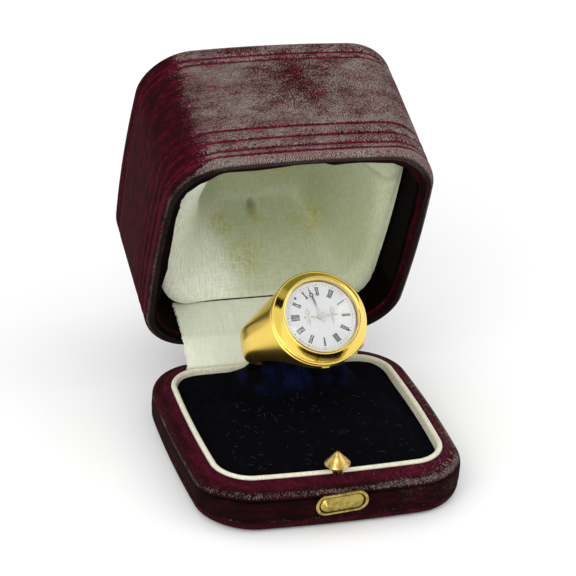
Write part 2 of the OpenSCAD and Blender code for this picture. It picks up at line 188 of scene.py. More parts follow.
def rounded_outline(half_w, front, back, corner, bow, back_bow, corner_steps=22, side_steps=12):
    """Rounded rectangle with bowed sides, anticlockwise from the front right corner."""
    flat = []
    centres = ((half_w - corner, -front + corner, -90), (half_w - corner, back - corner, 0),
               (-half_w + corner, back - corner, 90), (-half_w + corner, -front + corner, 180))
    arcs = []
    for cx, cy, start in centres:
        arcs.append([])
        for i in range(corner_steps + 1):
            a = math.radians(start + 90 * i / corner_steps)
            arcs[-1].append((cx + corner * math.cos(a), cy + corner * math.sin(a)))
    for k, arc in enumerate(arcs):
        flat += arc
        (x0, y0), (x1, y1) = arc[-1], arcs[(k + 1) % 4][0]
        for i in range(1, side_steps):
            flat.append((x0 + (x1 - x0) * i / side_steps, y0 + (y1 - y0) * i / side_steps))
    middle = (back - front) / 2
    half_d = (front + back) / 2
    bowed = []
    for x, y in flat:
        side = (y - middle) / half_d
        by = max(0.0, 1 - side * side)
        bx = max(0.0, 1 - (x / half_w) ** 2)
        bowed.append((x * (1 + bow * by / half_w), y + (bow if side < 0 else back_bow) * side * bx))
    return bowed


def box_outline(inset):
    return rounded_outline(BOX_HALF_W - inset, BOX_HALF_D - inset, BOX_HALF_D - inset,
                           BOX_CORNER - inset * 0.4, BOX_BOW, BACK_BOW)


def collar_outline(inset):
    return rounded_outline(COLLAR_HALF_W - inset, COLLAR_HALF_D - inset, COLLAR_HALF_D - inset,
                           COLLAR_CORNER - inset, COLLAR_BOW, BACK_BOW)


def skewed(outline, z):
    return [(x - LID_SKEW * z / LID_H, y) for x, y in outline]


def lid_outline(inset, z):
    share = z / LID_H
    back = BACK_NARROWING * share
    half_w = LID_HALF_W - inset - SIDE_NARROWING * share
    front = BOX_HALF_D - inset + LID_FLARE * share
    corner = BOX_CORNER - 0.4 * (inset + back)
    return skewed(rounded_outline(half_w, front, BOX_HALF_D - inset - back, corner, BOX_BOW, BACK_BOW), z)


def pad_outline(z):
    share = z / LID_H
    shape = rounded_outline(PAD_HALF_W - SIDE_NARROWING * share, BOX_HALF_D - 3.4 + LID_FLARE * 8 / LID_H,
                            BOX_HALF_D - 3.5, PAD_CORNER, BOX_BOW, BACK_BOW)
    return [(x + PAD_SHIFT, y) for x, y in skewed(shape, z)]


def at_height(outline, z):
    return [Vector((x, y, z)) * MM for x, y in outline]


def rounded_profile(rows, steps=4):
    """Draws a smooth line through the rows of a profile, height and inset."""
    line = []
    for i in range(len(rows) - 1):
        before = Vector(rows[max(i - 1, 0)])
        here = Vector(rows[i])
        there = Vector(rows[i + 1])
        after = Vector(rows[min(i + 2, len(rows) - 1)])
        for k in range(steps):
            t = k / steps
            bend = 2 * before - 5 * here + 4 * there - after
            twist = 3 * here - before - 3 * there + after
            line.append(0.5 * (2 * here + (there - before) * t + bend * t * t + twist * t ** 3))
    line.append(Vector(rows[-1]))
    return line


def row_finder(outlines):
    """Finds the point of some outlines that lies nearest to a place."""
    count = len(outlines[0])
    finder = KDTree(count * len(outlines))
    for j, outline in enumerate(outlines):
        for i, spot in enumerate(outline):
            finder.insert(spot, j * count + i)
    finder.balance()
    return finder


def open_edges(piece):
    """Selects the edges that have one face, in edit mode."""
    bpy.ops.mesh.select_mode(type="EDGE")
    bpy.ops.mesh.select_all(action="DESELECT")
    mesh = bmesh.from_edit_mesh(piece.data)
    for edge in mesh.edges:
        edge.select_set(edge.is_boundary)
    bmesh.update_edit_mesh(piece.data)


def block(name, low, high):
    """A cube from corner to corner, to cut with."""
    deselect()
    bpy.ops.mesh.primitive_cube_add(size=1)
    cube = named(name)
    cube.scale = [(b - a) * MM for a, b in zip(low, high)]
    cube.location = [(b + a) / 2 * MM for a, b in zip(low, high)]
    return cube


def pull_wall(name, outlines, tube=False):
    """Starts from a circle and pulls it from outline to outline; a tube is joined end to end."""
    count = len(outlines[0])
    deselect()
    bpy.ops.mesh.primitive_circle_add(vertices=count, radius=20 * MM, fill_type="NOTHING" if tube else "NGON")
    piece = named(name)
    mesh = edit(piece)
    mesh.verts.ensure_lookup_table()
    for vertex, spot in zip(list(mesh.verts), outlines[0]):
        vertex.co = spot
    before = outlines[0]
    for outline in outlines[1:]:
        if tube:
            bpy.ops.mesh.extrude_edges_move()
        else:
            bpy.ops.mesh.extrude_region_move()
        mesh = bmesh.from_edit_mesh(piece.data)
        finder = row_finder([before])
        for vertex in mesh.verts:
            if vertex.select:
                vertex.co = outline[finder.find(vertex.co)[1]]
        bmesh.update_edit_mesh(piece.data)
        before = outline
    if tube:
        open_edges(piece)
        bpy.ops.mesh.bridge_edge_loops()
    leave()
    outward(piece)
    return piece


def mark_wall(piece, outlines, insets):
    """Keeps each point's way round the box from the front's middle, and its inset, for the velvet."""
    count = len(outlines[0])
    finder = row_finder(outlines)
    round_it = outlines[len(outlines) // 2]
    way = [round_it[0].x / MM]
    for here, there in zip(round_it, round_it[1:] + round_it[:1]):
        way.append(way[-1] + (there - here).length / MM)
    whole = way[-1] - way[0]
    inset = piece.data.attributes.new("inset", "FLOAT", "POINT")
    ways = []
    for vertex in piece.data.vertices:
        j, i = divmod(finder.find(vertex.co)[1], count)
        ways.append((way[i] + whole / 2) % whole - whole / 2)
        inset.data[vertex.index].value = insets[j]
    along = piece.data.attributes.new("along", "FLOAT", "CORNER")
    for face in piece.data.polygons:
        round_face = [ways[v] for v in face.vertices]
        over_the_join = max(round_face) - min(round_face) > whole / 2
        for corner in face.loop_indices:
            here = ways[piece.data.loops[corner].vertex_index]
            along.data[corner].value = here + whole if over_the_join and here < 0 else here


def edge_reach(outline):
    """How far the outline reaches from its middle, as a function of direction."""
    spokes = sorted((math.atan2(y, x), math.hypot(x, y)) for x, y in outline)
    (first, first_r), (last, last_r) = spokes[0], spokes[-1]
    spokes = [(last - 2 * math.pi, last_r)] + spokes + [(first + 2 * math.pi, first_r)]

    def reach(angle):
        low, high = 0, len(spokes) - 1
        while high - low > 1:
            mid = (low + high) // 2
            if spokes[mid][0] <= angle:
                low = mid
            else:
                high = mid
        (a0, r0), (a1, r1) = spokes[low], spokes[high]
        return r0 + (r1 - r0) * (angle - a0) / max(a1 - a0, 1e-9)
    return reach


def stuffed_block(name, outline, height, floor_z, cells, place, foot=None):
    """A grid fitted into an outline, raised by a height at x, y; its sides end in foot, at floor_z."""
    reach = edge_reach(outline)
    half_w = max(x for x, y in outline)
    half_d = max(y for x, y in outline)
    deselect()
    bpy.ops.mesh.primitive_grid_add(x_subdivisions=cells, y_subdivisions=cells, size=2)
    piece = named(name)
    mesh = edit(piece)
    for vertex in mesh.verts:
        u, v = vertex.co.x, vertex.co.y
        m = max(abs(u), abs(v))
        angle = math.atan2(v * half_d, u * half_w)
        r = m * reach(angle)
        x, y = r * math.cos(angle), r * math.sin(angle)
        vertex.co = Vector((x, y, height(x, y))) * MM
    open_edges(piece)
    foot_reach = edge_reach(foot or outline)
    for share in (0.5, 1.0):
        bpy.ops.mesh.extrude_edges_move()
        mesh = bmesh.from_edit_mesh(piece.data)
        for vertex in mesh.verts:
            if vertex.select:
                angle = math.atan2(vertex.co.y, vertex.co.x)
                aim = Vector((math.cos(angle), math.sin(angle))) * foot_reach(angle) * MM
                spot = vertex.co.xy.lerp(aim, share)
                vertex.co = (spot.x, spot.y, vertex.co.z + (floor_z * MM - vertex.co.z) * share)
        bmesh.update_edit_mesh(piece.data)
    bpy.ops.mesh.edge_face_add()
    leave()
    outward(piece)
    smooth(piece, 50)
    settle(piece, place)
    return piece


def turned(name, profile, place, steps=192, closed=True):
    """Spins a profile of radius and height round the vertical axis."""
    deselect()
    bpy.ops.mesh.primitive_circle_add(vertices=3, radius=MM, fill_type="NOTHING")
    piece = named(name)
    mesh = edit(piece)
    bmesh.ops.delete(mesh, geom=list(mesh.verts), context="VERTS")
    spots = [mesh.verts.new(Vector((r, 0, z)) * MM) for r, z in profile]
    for a, b in zip(spots, spots[1:] + ([spots[0]] if closed else [])):
        if a is not b:
            mesh.edges.new((a, b))
    for vertex in mesh.verts:
        vertex.select_set(True)
    mesh.select_flush(True)
    bmesh.update_edit_mesh(piece.data)
    bpy.ops.mesh.select_all(action="SELECT")
    bpy.ops.mesh.spin(steps=steps, angle=2 * math.pi, center=(0, 0, 0), axis=(0, 0, 1))
    leave()
    outward(piece, doubles=0.002 * MM)
    smooth(piece, 40)
    settle(piece, place)
    return piece


# Materials

def tone(red, green, blue):
    """A colour as the eye names it, 0 to 255, turned into light."""
    light = [(c / 255) / 12.92 if c <= 10 else ((c / 255 + 0.055) / 1.055) ** 2.4 for c in (red, green, blue)]
    return (*light, 1.0)


def feed(tree, socket, value):
    """Gives a socket a value or another node's socket."""
    if isinstance(value, bpy.types.NodeSocket):
        tree.links.new(value, socket)
    else:
        socket.default_value = value


def put(tree, kind, settings=None, **inputs):
    """Adds a node; an input is named by its label, or by i and its number."""
    node = tree.nodes.new(kind)
    for key, value in (settings or {}).items():
        setattr(node, key, value)
    for key, value in inputs.items():
        numbered = key[0] == "i" and key[1:].isdigit()
        feed(tree, node.inputs[int(key[1:]) if numbered else key.replace("_", " ")], value)
    return node


def maths(tree, what, a, b=0.0, clamp=False):
    return put(tree, "ShaderNodeMath", {"operation": what, "use_clamp": clamp}, i0=a, i1=b).outputs[0]


def blended(tree, share, first, second, way="MIX"):
    node = tree.nodes.new("ShaderNodeMix")
    node.data_type = "RGBA"
    node.blend_type = way
    for index, value in ((0, share), (6, first), (7, second)):
        feed(tree, node.inputs[index], value)
    return node.outputs[2]


def stepped(tree, value, low, high, to_low=0.0, to_high=1.0):
    """Smooth step of a value from low to high."""
    node = put(tree, "ShaderNodeMapRange", {"interpolation_type": "SMOOTHSTEP"}, Value=value, From_Min=low,
               From_Max=high, To_Min=to_low, To_Max=to_high)
    return node.outputs[0]


def cloud(tree, place, scale, detail=4.0, rough=0.6):
    node = put(tree, "ShaderNodeTexNoise", Vector=place, Scale=scale, Detail=detail, Roughness=rough)
    return node.outputs[0]


def stretched(tree, place, scale):
    return put(tree, "ShaderNodeMapping", Vector=place, Scale=scale).outputs[0]


def away_from(tree, place, middle):
    node = put(tree, "ShaderNodeVectorMath", {"operation": "DISTANCE"}, i0=place, i1=middle)
    return node.outputs["Value"]


def near(tree, value, middle, full, none):
    """1 where the value is within full of its middle, 0 beyond none."""
    away = maths(tree, "ABSOLUTE", maths(tree, "SUBTRACT", value, middle))
    return stepped(tree, away, full, none, 1.0, 0.0)


def product(tree, first, *others):
    for other in others:
        first = maths(tree, "MULTIPLY", first, other)
    return first


def total(tree, first, *others):
    for other in others:
        first = maths(tree, "ADD", first, other)
    return first


def new_group(name, inputs, outputs):
    group = bpy.data.node_groups.new(name, "ShaderNodeTree")
    for label, kind, value in inputs:
        socket = group.interface.new_socket(label, in_out="INPUT", socket_type=kind)
        if value is not None:
            socket.default_value = value
    for label, kind in outputs:
        group.interface.new_socket(label, in_out="OUTPUT", socket_type=kind)
    start = group.nodes.new("NodeGroupInput")
    end = group.nodes.new("NodeGroupOutput")
    return group, start.outputs, end.inputs


def use(tree, group, **inputs):
    node = tree.nodes.new("ShaderNodeGroup")
    node.node_tree = group
    for key, value in inputs.items():
        feed(tree, node.inputs[key.replace("_", " ")], value)
    return node.outputs


NUMBER, COLOUR, VECTOR = "NodeSocketFloat", "NodeSocketColor", "NodeSocketVector"


def make_twill():
    """Bare cloth under the pile: steep fine threads crossed by the weft, their shade and height."""
    group, given, out = new_group("Bare twill", [("Place", VECTOR, None), ("Thread", NUMBER, 0.3)],
                                  [("Shade", NUMBER), ("Height", NUMBER)])
    parts = put(group, "ShaderNodeSeparateXYZ", Vector=given["Place"]).outputs
    wobble = maths(group, "MULTIPLY", cloud(group, given["Place"], 0.5, 2.0), 0.9)
    lean = maths(group, "ADD", parts[0], maths(group, "MULTIPLY", parts[2], 0.3))
    warp = thread_wave(group, maths(group, "ADD", lean, wobble), given["Thread"])
    weft = thread_wave(group, maths(group, "ADD", maths(group, "SUBTRACT", parts[2], parts[0]), wobble), 0.55)
    grain = maths(group, "SUBTRACT", cloud(group, given["Place"], 4.6, 1.0, 0.8), 0.5)
    woven = maths(group, "ADD", maths(group, "MULTIPLY", warp, 0.55), maths(group, "MULTIPLY", weft, 0.16))
    shade = maths(group, "ADD", woven, maths(group, "MULTIPLY", grain, 4.6))
    group.links.new(maths(group, "ADD", shade, 0.42, True), out["Shade"])
    group.links.new(maths(group, "ADD", maths(group, "MULTIPLY", woven, 1.6), grain), out["Height"])
    return group


def thread_wave(group, where, pitch):
    return maths(group, "SINE", maths(group, "MULTIPLY", maths(group, "DIVIDE", where, pitch), 2 * math.pi))


def make_velvet(twill):
    """Old velvet: pile where it is kept, bare cloth where it is rubbed away."""
    group, given, out = new_group(
        "Rubbed velvet",
        [("Place", VECTOR, None), ("Rubbed", NUMBER, 0.2), ("Pile", COLOUR, None),
         ("Bright Pile", COLOUR, None), ("Cloth", COLOUR, None), ("Light Cloth", COLOUR, None)],
        [("Colour", COLOUR), ("Roughness", NUMBER), ("Height", NUMBER)])
    place = given["Place"]
    patches = cloud(group, stretched(group, place, (0.5, 1.0, 1.0)), 0.3, 5.0, 0.66)
    tufts = cloud(group, stretched(group, place, (0.7, 1.0, 1.0)), 1.5, 4.0, 0.75)
    lay = cloud(group, stretched(group, place, (0.3, 1.0, 1.0)), 0.8, 4.0, 0.6)
    threads = cloud(group, stretched(group, place, (4.5, 1.0, 2.6)), 1.0, 2.0, 0.7)
    thin = total(group, maths(group, "MULTIPLY", maths(group, "SUBTRACT", patches, 0.5), 0.95),
                 maths(group, "MULTIPLY", maths(group, "SUBTRACT", tufts, 0.5), 0.45),
                 maths(group, "MULTIPLY", maths(group, "SUBTRACT", threads, 0.5), 1.8))
    worn = maths(group, "ADD", given["Rubbed"], thin)
    bare = stepped(group, worn, 0.3, 0.72)
    weave = use(group, twill, Place=place)
    pile = blended(group, stepped(group, lay, 0.36, 0.85), given["Pile"], given["Bright Pile"])
    pile = blended(group, stepped(group, tufts, 0.38, 0.58, 0.9, 0.0), pile, given["Pile"])
    cloth = blended(group, weave["Shade"], given["Cloth"], given["Light Cloth"])
    stained = blended(group, stepped(group, patches, 0.38, 0.6, 0.3, 0.0), cloth, given["Bright Pile"])
    group.links.new(blended(group, bare, pile, stained), out["Colour"])
    group.links.new(stepped(group, bare, 0.0, 1.0, 0.95, 0.82), out["Roughness"])
    nap = maths(group, "MULTIPLY", maths(group, "ADD", tufts, maths(group, "MULTIPLY", lay, 0.6)), 0.6)
    kept = maths(group, "ADD", nap, 0.4)
    height = put(group, "ShaderNodeMix", {"data_type": "FLOAT"}, i0=bare, i2=kept,
                 i3=maths(group, "MULTIPLY", weave["Height"], 0.3)).outputs[0]
    group.links.new(height, out["Height"])
    return group


def make_silk():
    """Fine ribs and slubs of plain silk or satin."""
    group, given, out = new_group(
        "Silk ribs", [("Place", VECTOR, None), ("Across", NUMBER, 9.0), ("Along", NUMBER, 1.0)],
        [("Shade", NUMBER), ("Height", NUMBER)])
    across, along = given["Across"], given["Along"]
    spreads = []
    for x, rest in ((across, along), (along, across)):
        scale = put(group, "ShaderNodeCombineXYZ", X=x, Y=rest, Z=rest).outputs[0]
        node = put(group, "ShaderNodeVectorMath", {"operation": "MULTIPLY"}, i0=given["Place"], i1=scale)
        spreads.append(node.outputs[0])
    ribs = cloud(group, spreads[0], 1.0, 3.0, 0.65)
    slubs = cloud(group, spreads[1], 0.8, 2.0, 0.5)
    both = maths(group, "ADD", maths(group, "MULTIPLY", ribs, 0.65), maths(group, "MULTIPLY", slubs, 0.35))
    group.links.new(stepped(group, both, 0.32, 0.68), out["Shade"])
    group.links.new(both, out["Height"])
    return group


def make_tarnish():
    """Old metal: brown film in patches, fine scratches, bright where it is handled."""
    group, given, out = new_group("Handled metal", [("Place", VECTOR, None), ("Film", NUMBER, 0.5)],
                                  [("Film", NUMBER), ("Roughness", NUMBER), ("Height", NUMBER)])
    patches = cloud(group, given["Place"], 0.9, 5.0, 0.65)
    scratches = cloud(group, stretched(group, given["Place"], (0.6, 0.6, 9.0)), 1.0, 3.0, 0.7)
    covered = maths(group, "ADD", patches, maths(group, "SUBTRACT", given["Film"], 0.5))
    film = stepped(group, covered, 0.4, 0.75)
    group.links.new(film, out["Film"])
    rough = total(group, product(group, film, 0.2), product(group, scratches, 0.16), 0.14)
    group.links.new(rough, out["Roughness"])
    uneven = total(group, product(group, patches, 0.5), product(group, scratches, 0.5))
    group.links.new(uneven, out["Height"])
    return group


def make_dust():
    """Specks of pale dust caught in a pile."""
    group, given, out = new_group("Caught lint", [("Place", VECTOR, None), ("Amount", NUMBER, 0.5)],
                                  [("Mask", NUMBER)])
    specks = put(group, "ShaderNodeTexVoronoi", {"feature": "F1"}, Vector=given["Place"], Scale=1.4)
    dots = stepped(group, specks.outputs["Distance"], 0.03, 0.09, 1.0, 0.0)
    where = stepped(group, cloud(group, given["Place"], 0.35, 3.0), 0.45, 0.62)
    group.links.new(product(group, dots, where, given["Amount"]), out["Mask"])
    return group


TWILL = make_twill()
VELVET = make_velvet(TWILL)
SILK = make_silk()
TARNISH = make_tarnish()
DUST = make_dust()


def material(name, **values):
    made = bpy.data.materials.new(name)
    made.use_nodes = True
    tree = made.node_tree
    shader = tree.nodes["Principled BSDF"]
    for key, value in values.items():
        shader.inputs[key.replace("_", " ")].default_value = value
    return made, tree, shader


IN_MM = (1000, 1000, 1000)


def tray_space(tree):
    """Object coordinates in millimetres, with heights from the seam."""
    given = put(tree, "ShaderNodeTexCoord").outputs["Object"]
    node = put(tree, "ShaderNodeMapping", Vector=given, Scale=IN_MM, Location=(0, 0, -SEAM))
    return node.outputs[0]


def lid_space(tree):
    """Object coordinates in millimetres, turned back to where the shut lid would be."""
    given = put(tree, "ShaderNodeTexCoord").outputs["Object"]
    pivot = Vector((LID_SHIFT, HINGE_Y, SEAM + HINGE_Z))
    back = Vector((0, HINGE_Y, HINGE_Z)) - Matrix.Rotation(LID_OPEN, 3, "X") @ pivot
    node = put(tree, "ShaderNodeMapping", Vector=given, Scale=IN_MM, Rotation=(LID_OPEN, 0, 0), Location=back)
    return node.outputs[0]


def head_space(tree):
    """Object coordinates in millimetres on the dial's own axes."""
    given = put(tree, "ShaderNodeTexCoord").outputs["Object"]
    pivot = Vector((HEAD.x, HEAD.y, HEAD.z + SEAM))
    back = -(Matrix.Rotation(-DIAL_TILT, 3, "X") @ pivot)
    node = put(tree, "ShaderNodeMapping", Vector=given, Scale=IN_MM, Rotation=(-DIAL_TILT, 0, 0),
               Location=back)
    return node.outputs[0]


def bumped(tree, shader, height, distance, strength=1.0):
    bump = put(tree, "ShaderNodeBump", Height=height, Distance=distance, Strength=strength)
    tree.links.new(bump.outputs[0], shader.inputs["Normal"])


def burgundy_velvet(name, space, panel_heights, wear_and_shade, pile, bright_pile):
    """The wear function tells where the pile is rubbed, where it is unfaded pile lit as painted sheen, and
    where painted shade darkens it; the panel is the flat side of base or lid.
    """
    made, tree, shader = material(name, Sheen_Weight=0.025, Sheen_Roughness=0.3,
                                  Sheen_Tint=tone(215, 60, 100), Specular_IOR_Level=0.05)
    height_there = put(tree, "ShaderNodeSeparateXYZ", Vector=space(tree)).outputs[2]
    along = put(tree, "ShaderNodeAttribute", {"attribute_name": "along"}).outputs["Fac"]
    inset = put(tree, "ShaderNodeAttribute", {"attribute_name": "inset"}).outputs["Fac"]
    on_wall = put(tree, "ShaderNodeCombineXYZ", X=along, Y=inset, Z=height_there).outputs[0]
    panel = stepped(tree, height_there, *panel_heights)
    place = put(tree, "ShaderNodeMix", {"data_type": "VECTOR"}, i0=maths(tree, "GREATER_THAN", panel, 0.5),
                i4=on_wall, i5=space(tree)).outputs[1]
    rubbed, fresh_pile_and_sheen, shade_share = wear_and_shade(tree, along, inset, height_there, panel)
    nap = use(tree, VELVET, Place=place, Rubbed=rubbed, Pile=pile, Bright_Pile=bright_pile,
              Cloth=tone(44, 33, 33), Light_Cloth=tone(168, 154, 146))
    streaks = stretched(tree, place, (1.6, 1.0, 1.0))
    broken = stepped(tree, cloud(tree, streaks, 1.3, 4.0, 0.75), 0.36, 0.62)
    # Unfaded pile in streaks, its bright magenta also painted sheen
    coloured = blended(tree, maths(tree, "MULTIPLY", fresh_pile_and_sheen, broken), nap["Colour"], tone(116, 20, 56))
    # Painted shade: the colour is multiplied towards near black where the wear function gives shade
    coloured = blended(tree, shade_share, coloured, tone(24, 13, 12), "MULTIPLY")
    dust = use(tree, DUST, Place=place, Amount=0.3)
    tree.links.new(blended(tree, dust["Mask"], coloured, tone(150, 135, 120)), shader.inputs["Base Color"])
    tree.links.new(nap["Roughness"], shader.inputs["Roughness"])
    bumped(tree, shader, nap["Height"], 0.00012, 0.7)
    return made


# Heights of the grooves round the shut lid
LID_GROOVES = (1.75, 3.2, 5.5, 8.0, 24.9, 26.3)


def lid_wear_and_shade(tree, along, inset, z, panel):
    """The front is rubbed bare between its grooves; the rim's crest is bare all round. The second share is
    unfaded pile in the grooves, also painted sheen; the third is painted shade under the rim's roll, on its
    crest, inside the wall and on the left side.
    """
    wall = maths(tree, "SUBTRACT", 1.0, panel)
    on_front = product(tree, stepped(tree, along, -24, -17), stepped(tree, along, 25, 30, 1.0, 0.0), wall)
    kept_patch = product(tree, near(tree, along, 2.0, 0.5, 13.0), near(tree, z, 19.5, 0.5, 9.0))
    grooves = 0.0
    for groove in LID_GROOVES:
        grooves = maths(tree, "ADD", near(tree, z, groove, 0.08, 0.4), grooves, True)
    outside = stepped(tree, inset, 1.5, 1.75, 1.0, 0.0)
    inside = product(tree, stepped(tree, inset, 1.5, 1.8), stepped(tree, z, 3, 5, 1.0, 0.0))
    crest_height = total(tree, z, product(tree, on_front, -0.8))
    crest = product(tree, stepped(tree, crest_height, 0.1, 0.7, 0.75, 0.0), outside)
    far_edge = stepped(tree, z, 26.2, 28.2, 0.0, -0.12)
    edge_of_panel = near(tree, z, 29.3, 0.2, 0.9)
    rubbed = total(tree, product(tree, on_front, 0.62), -0.04, product(tree, kept_patch, wall, -0.22), crest,
                   product(tree, far_edge, wall), product(tree, panel, 0.28),
                   product(tree, edge_of_panel, 0.3), product(tree, grooves, -0.4),
                   product(tree, inside, -1.2))
    # Painted shade: under the roll of the rim, on the crest more at the sides than at the front, on the wall
    # inside and on the left side
    under = product(tree, stepped(tree, inset, 0.5, 0.95), stepped(tree, z, 0.6, 1.2, 1.0, 0.0))
    on_side = product(tree, stepped(tree, along, -25, -19, 0.35, 0.0), wall)
    within = product(tree, stepped(tree, inset, 1.9, 2.05), stepped(tree, z, 1.2, 1.8),
                     stepped(tree, z, 27.7, 28.4, 1.0, 0.0))
    lit_roll = product(tree, crest, total(tree, 0.6, product(tree, on_front, -0.4)))
    dark = total(tree, lit_roll, product(tree, under, 0.7), within, on_side)
    return rubbed, product(tree, grooves, outside, 0.7), maths(tree, "MINIMUM", dark, 0.95)


def tray_wear_and_shade(tree, along, inset, z, panel):
    """The base is rubbed along its shoulder, lower down on its left side, and along a line near its foot. The
    bare ridge line is also a painted highlight, the unfaded pile by the collar is also painted sheen, and
    painted shade darkens the side walls and a line under the ridge.
    """
    way = put(tree, "ShaderNodeCombineXYZ", X=along).outputs[0]
    gone = stepped(tree, cloud(tree, way, 0.22, 4.0, 0.7), 0.35, 0.65)
    wall = maths(tree, "SUBTRACT", 1.0, panel)
    ridge_height = stepped(tree, along, -33, -20, -2.45, -1.12)
    above = maths(tree, "SUBTRACT", z, ridge_height)
    # The ridge line is worn bare cloth and also a painted highlight
    ridge_wear_and_highlight = near(tree, above, 0.0, 0.12, 0.62)
    # Painted shade: a dark line under the ridge, where the shape has no groove
    groove = near(tree, above, -0.85, 0.1, 0.5)
    low_line = near(tree, z, -6.3, 0.05, 0.5)
    right_front = product(tree, stepped(tree, along, 4, 14), stepped(tree, z, -6.5, -4.5), wall)
    rubbed = total(tree, product(tree, ridge_wear_and_highlight, total(tree, product(tree, gone, 0.26), 0.37)),
                   product(tree, right_front, 0.26),
                   product(tree, low_line, total(tree, product(tree, gone, 0.24), 0.14)), -0.06)
    # Unfaded pile by the collar, its magenta also painted sheen
    by_collar = stepped(tree, inset, 1.0, 2.4, 0.0, 0.3)
    # Painted shade: the side walls below the ridge are darker than the top band, and less so near the foot
    side = stepped(tree, above, -0.9, -0.4, 0.66, 0.18)
    foot = stepped(tree, z, -7.2, -6.2, -0.5, 0.0)
    dark = total(tree, side, foot, product(tree, groove, 0.35), product(tree, ridge_wear_and_highlight, 0.4),
                 product(tree, right_front, -0.12))
    return rubbed, by_collar, maths(tree, "MAXIMUM", dark, 0.0)


def silk_cloth(name, space, dark, light, across, along, stains=(), painted_shade=None, **values):
    """Plain silk; stains are yellow spots, and the last function, if given, yields the shares and tones of
    painted shade.
    """
    made, tree, shader = material(name, **values)
    place = space(tree)
    ribs = use(tree, SILK, Place=place, Across=across, Along=along)
    clouds = cloud(tree, place, 0.12, 4.0, 0.6)
    mixed = blended(tree, ribs["Shade"], dark, light)
    mixed = blended(tree, stepped(tree, clouds, 0.45, 0.75, 0.0, 0.4), mixed, dark)
    # Painted shade is blended in, and the ribs are laid over it again
    if painted_shade:
        for share, shade in painted_shade(tree, place):
            mixed = blended(tree, share, mixed, shade)
        weave = blended(tree, ribs["Shade"], tone(232, 234, 228), tone(255, 255, 255))
        mixed = blended(tree, 1.0, mixed, weave, "MULTIPLY")
    if stains:
        where = 0.0
        for middle, reach in stains:
            away = away_from(tree, place, middle)
            where = maths(tree, "ADD", stepped(tree, away, 0.1 * reach, reach, 1.0, 0.0), where, True)
        threads = cloud(tree, stretched(tree, place, (2.2, 0.7, 0.7)), 1.6, 4.0, 0.7)
        patchy = cloud(tree, place, 0.7, 3.0, 0.6)
        spots = product(tree, stepped(tree, threads, 0.44, 0.56), stepped(tree, patchy, 0.36, 0.52))
        mixed = blended(tree, product(tree, spots, where, 0.85), mixed, tone(170, 160, 66))
    tree.links.new(mixed, shader.inputs["Base Color"])
    bumped(tree, shader, ribs["Height"], 0.00003, 0.7)
    return made


def old_metal(name, space, bright, film, amount, metal_rough=None):
    made, tree, shader = material(name, Metallic=1.0)
    place = space(tree)
    marks = use(tree, TARNISH, Place=place, Film=amount)
    tree.links.new(blended(tree, marks["Film"], bright, film), shader.inputs["Base Color"])
    if metal_rough is None:
        tree.links.new(marks["Roughness"], shader.inputs["Roughness"])
        bumped(tree, shader, marks["Height"], 0.00002, 0.6)
    else:
        low, high = metal_rough
        tree.links.new(stepped(tree, marks["Roughness"], 0.14, 0.5, low, high), shader.inputs["Roughness"])
        bumped(tree, shader, marks["Height"], 0.000001, 0.2)
    return made


def navy_velvet():
    made, tree, shader = material("Navy velvet", Sheen_Weight=0.015, Sheen_Roughness=0.3,
                                  Sheen_Tint=tone(60, 80, 200), Specular_IOR_Level=0.03, Roughness=0.95)
    place = tray_space(tree)
    lay = cloud(tree, stretched(tree, place, (0.3, 0.12, 0.3)), 1.0, 4.0, 0.6)
    tufts = cloud(tree, place, 2.4, 3.0, 0.7)
    height = put(tree, "ShaderNodeSeparateXYZ", Vector=place).outputs[2]
    # Painted sheen: blue highlights on the raised hump, broken up by the pile's lay
    painted_sheen = maths(tree, "MULTIPLY", stepped(tree, height, -0.4, 2.2), stepped(tree, lay, 0.4, 0.7))
    colour = blended(tree, stepped(tree, lay, 0.5, 0.8), tone(5, 5, 8), tone(9, 12, 26))
    colour = blended(tree, painted_sheen, colour, tone(15, 21, 58))
    colour = blended(tree, stepped(tree, tufts, 0.35, 0.65, 0.5, 0.0), colour, tone(4, 4, 7))
    dust = use(tree, DUST, Place=place, Amount=0.4)
    tree.links.new(blended(tree, dust["Mask"], colour, tone(90, 96, 112)), shader.inputs["Base Color"])
    bumped(tree, shader, maths(tree, "ADD", tufts, lay), 0.00015, 0.9)
    return made


def black_velvet():
    made, tree, shader = material("Black lining", Sheen_Weight=0.01, Sheen_Roughness=0.4,
                                  Sheen_Tint=tone(120, 60, 70), Specular_IOR_Level=0.03, Roughness=0.97)
    place = lid_space(tree)
    tufts = cloud(tree, place, 2.2, 3.0, 0.7)
    tree.links.new(blended(tree, stepped(tree, tufts, 0.3, 0.8), tone(7, 6, 6), tone(20, 16, 17)),
                   shader.inputs["Base Color"])
    bumped(tree, shader, tufts, 0.00015, 0.8)
    return made


def enamel():
    made, tree, shader = material("White enamel", Coat_Weight=0.6, Coat_Roughness=0.04)
    place = head_space(tree)
    haze = cloud(tree, place, 0.6, 3.0)
    tree.links.new(blended(tree, haze, tone(242, 247, 247), tone(254, 255, 255)), shader.inputs["Base Color"])
    tree.links.new(stepped(tree, haze, 0.2, 0.8, 0.16, 0.28), shader.inputs["Roughness"])
    bumped(tree, shader, haze, 0.00001, 0.3)
    return made


def glass():
    made, tree, shader = material("Crystal glass", Base_Color=(1, 1, 1, 1), Transmission_Weight=1.0, IOR=1.46)
    place = head_space(tree)
    marks = cloud(tree, stretched(tree, place, (2.0, 0.5, 1.0)), 2.0, 4.0, 0.7)
    tree.links.new(stepped(tree, marks, 0.55, 0.85, 0.0, 0.06), shader.inputs["Roughness"])
    return made


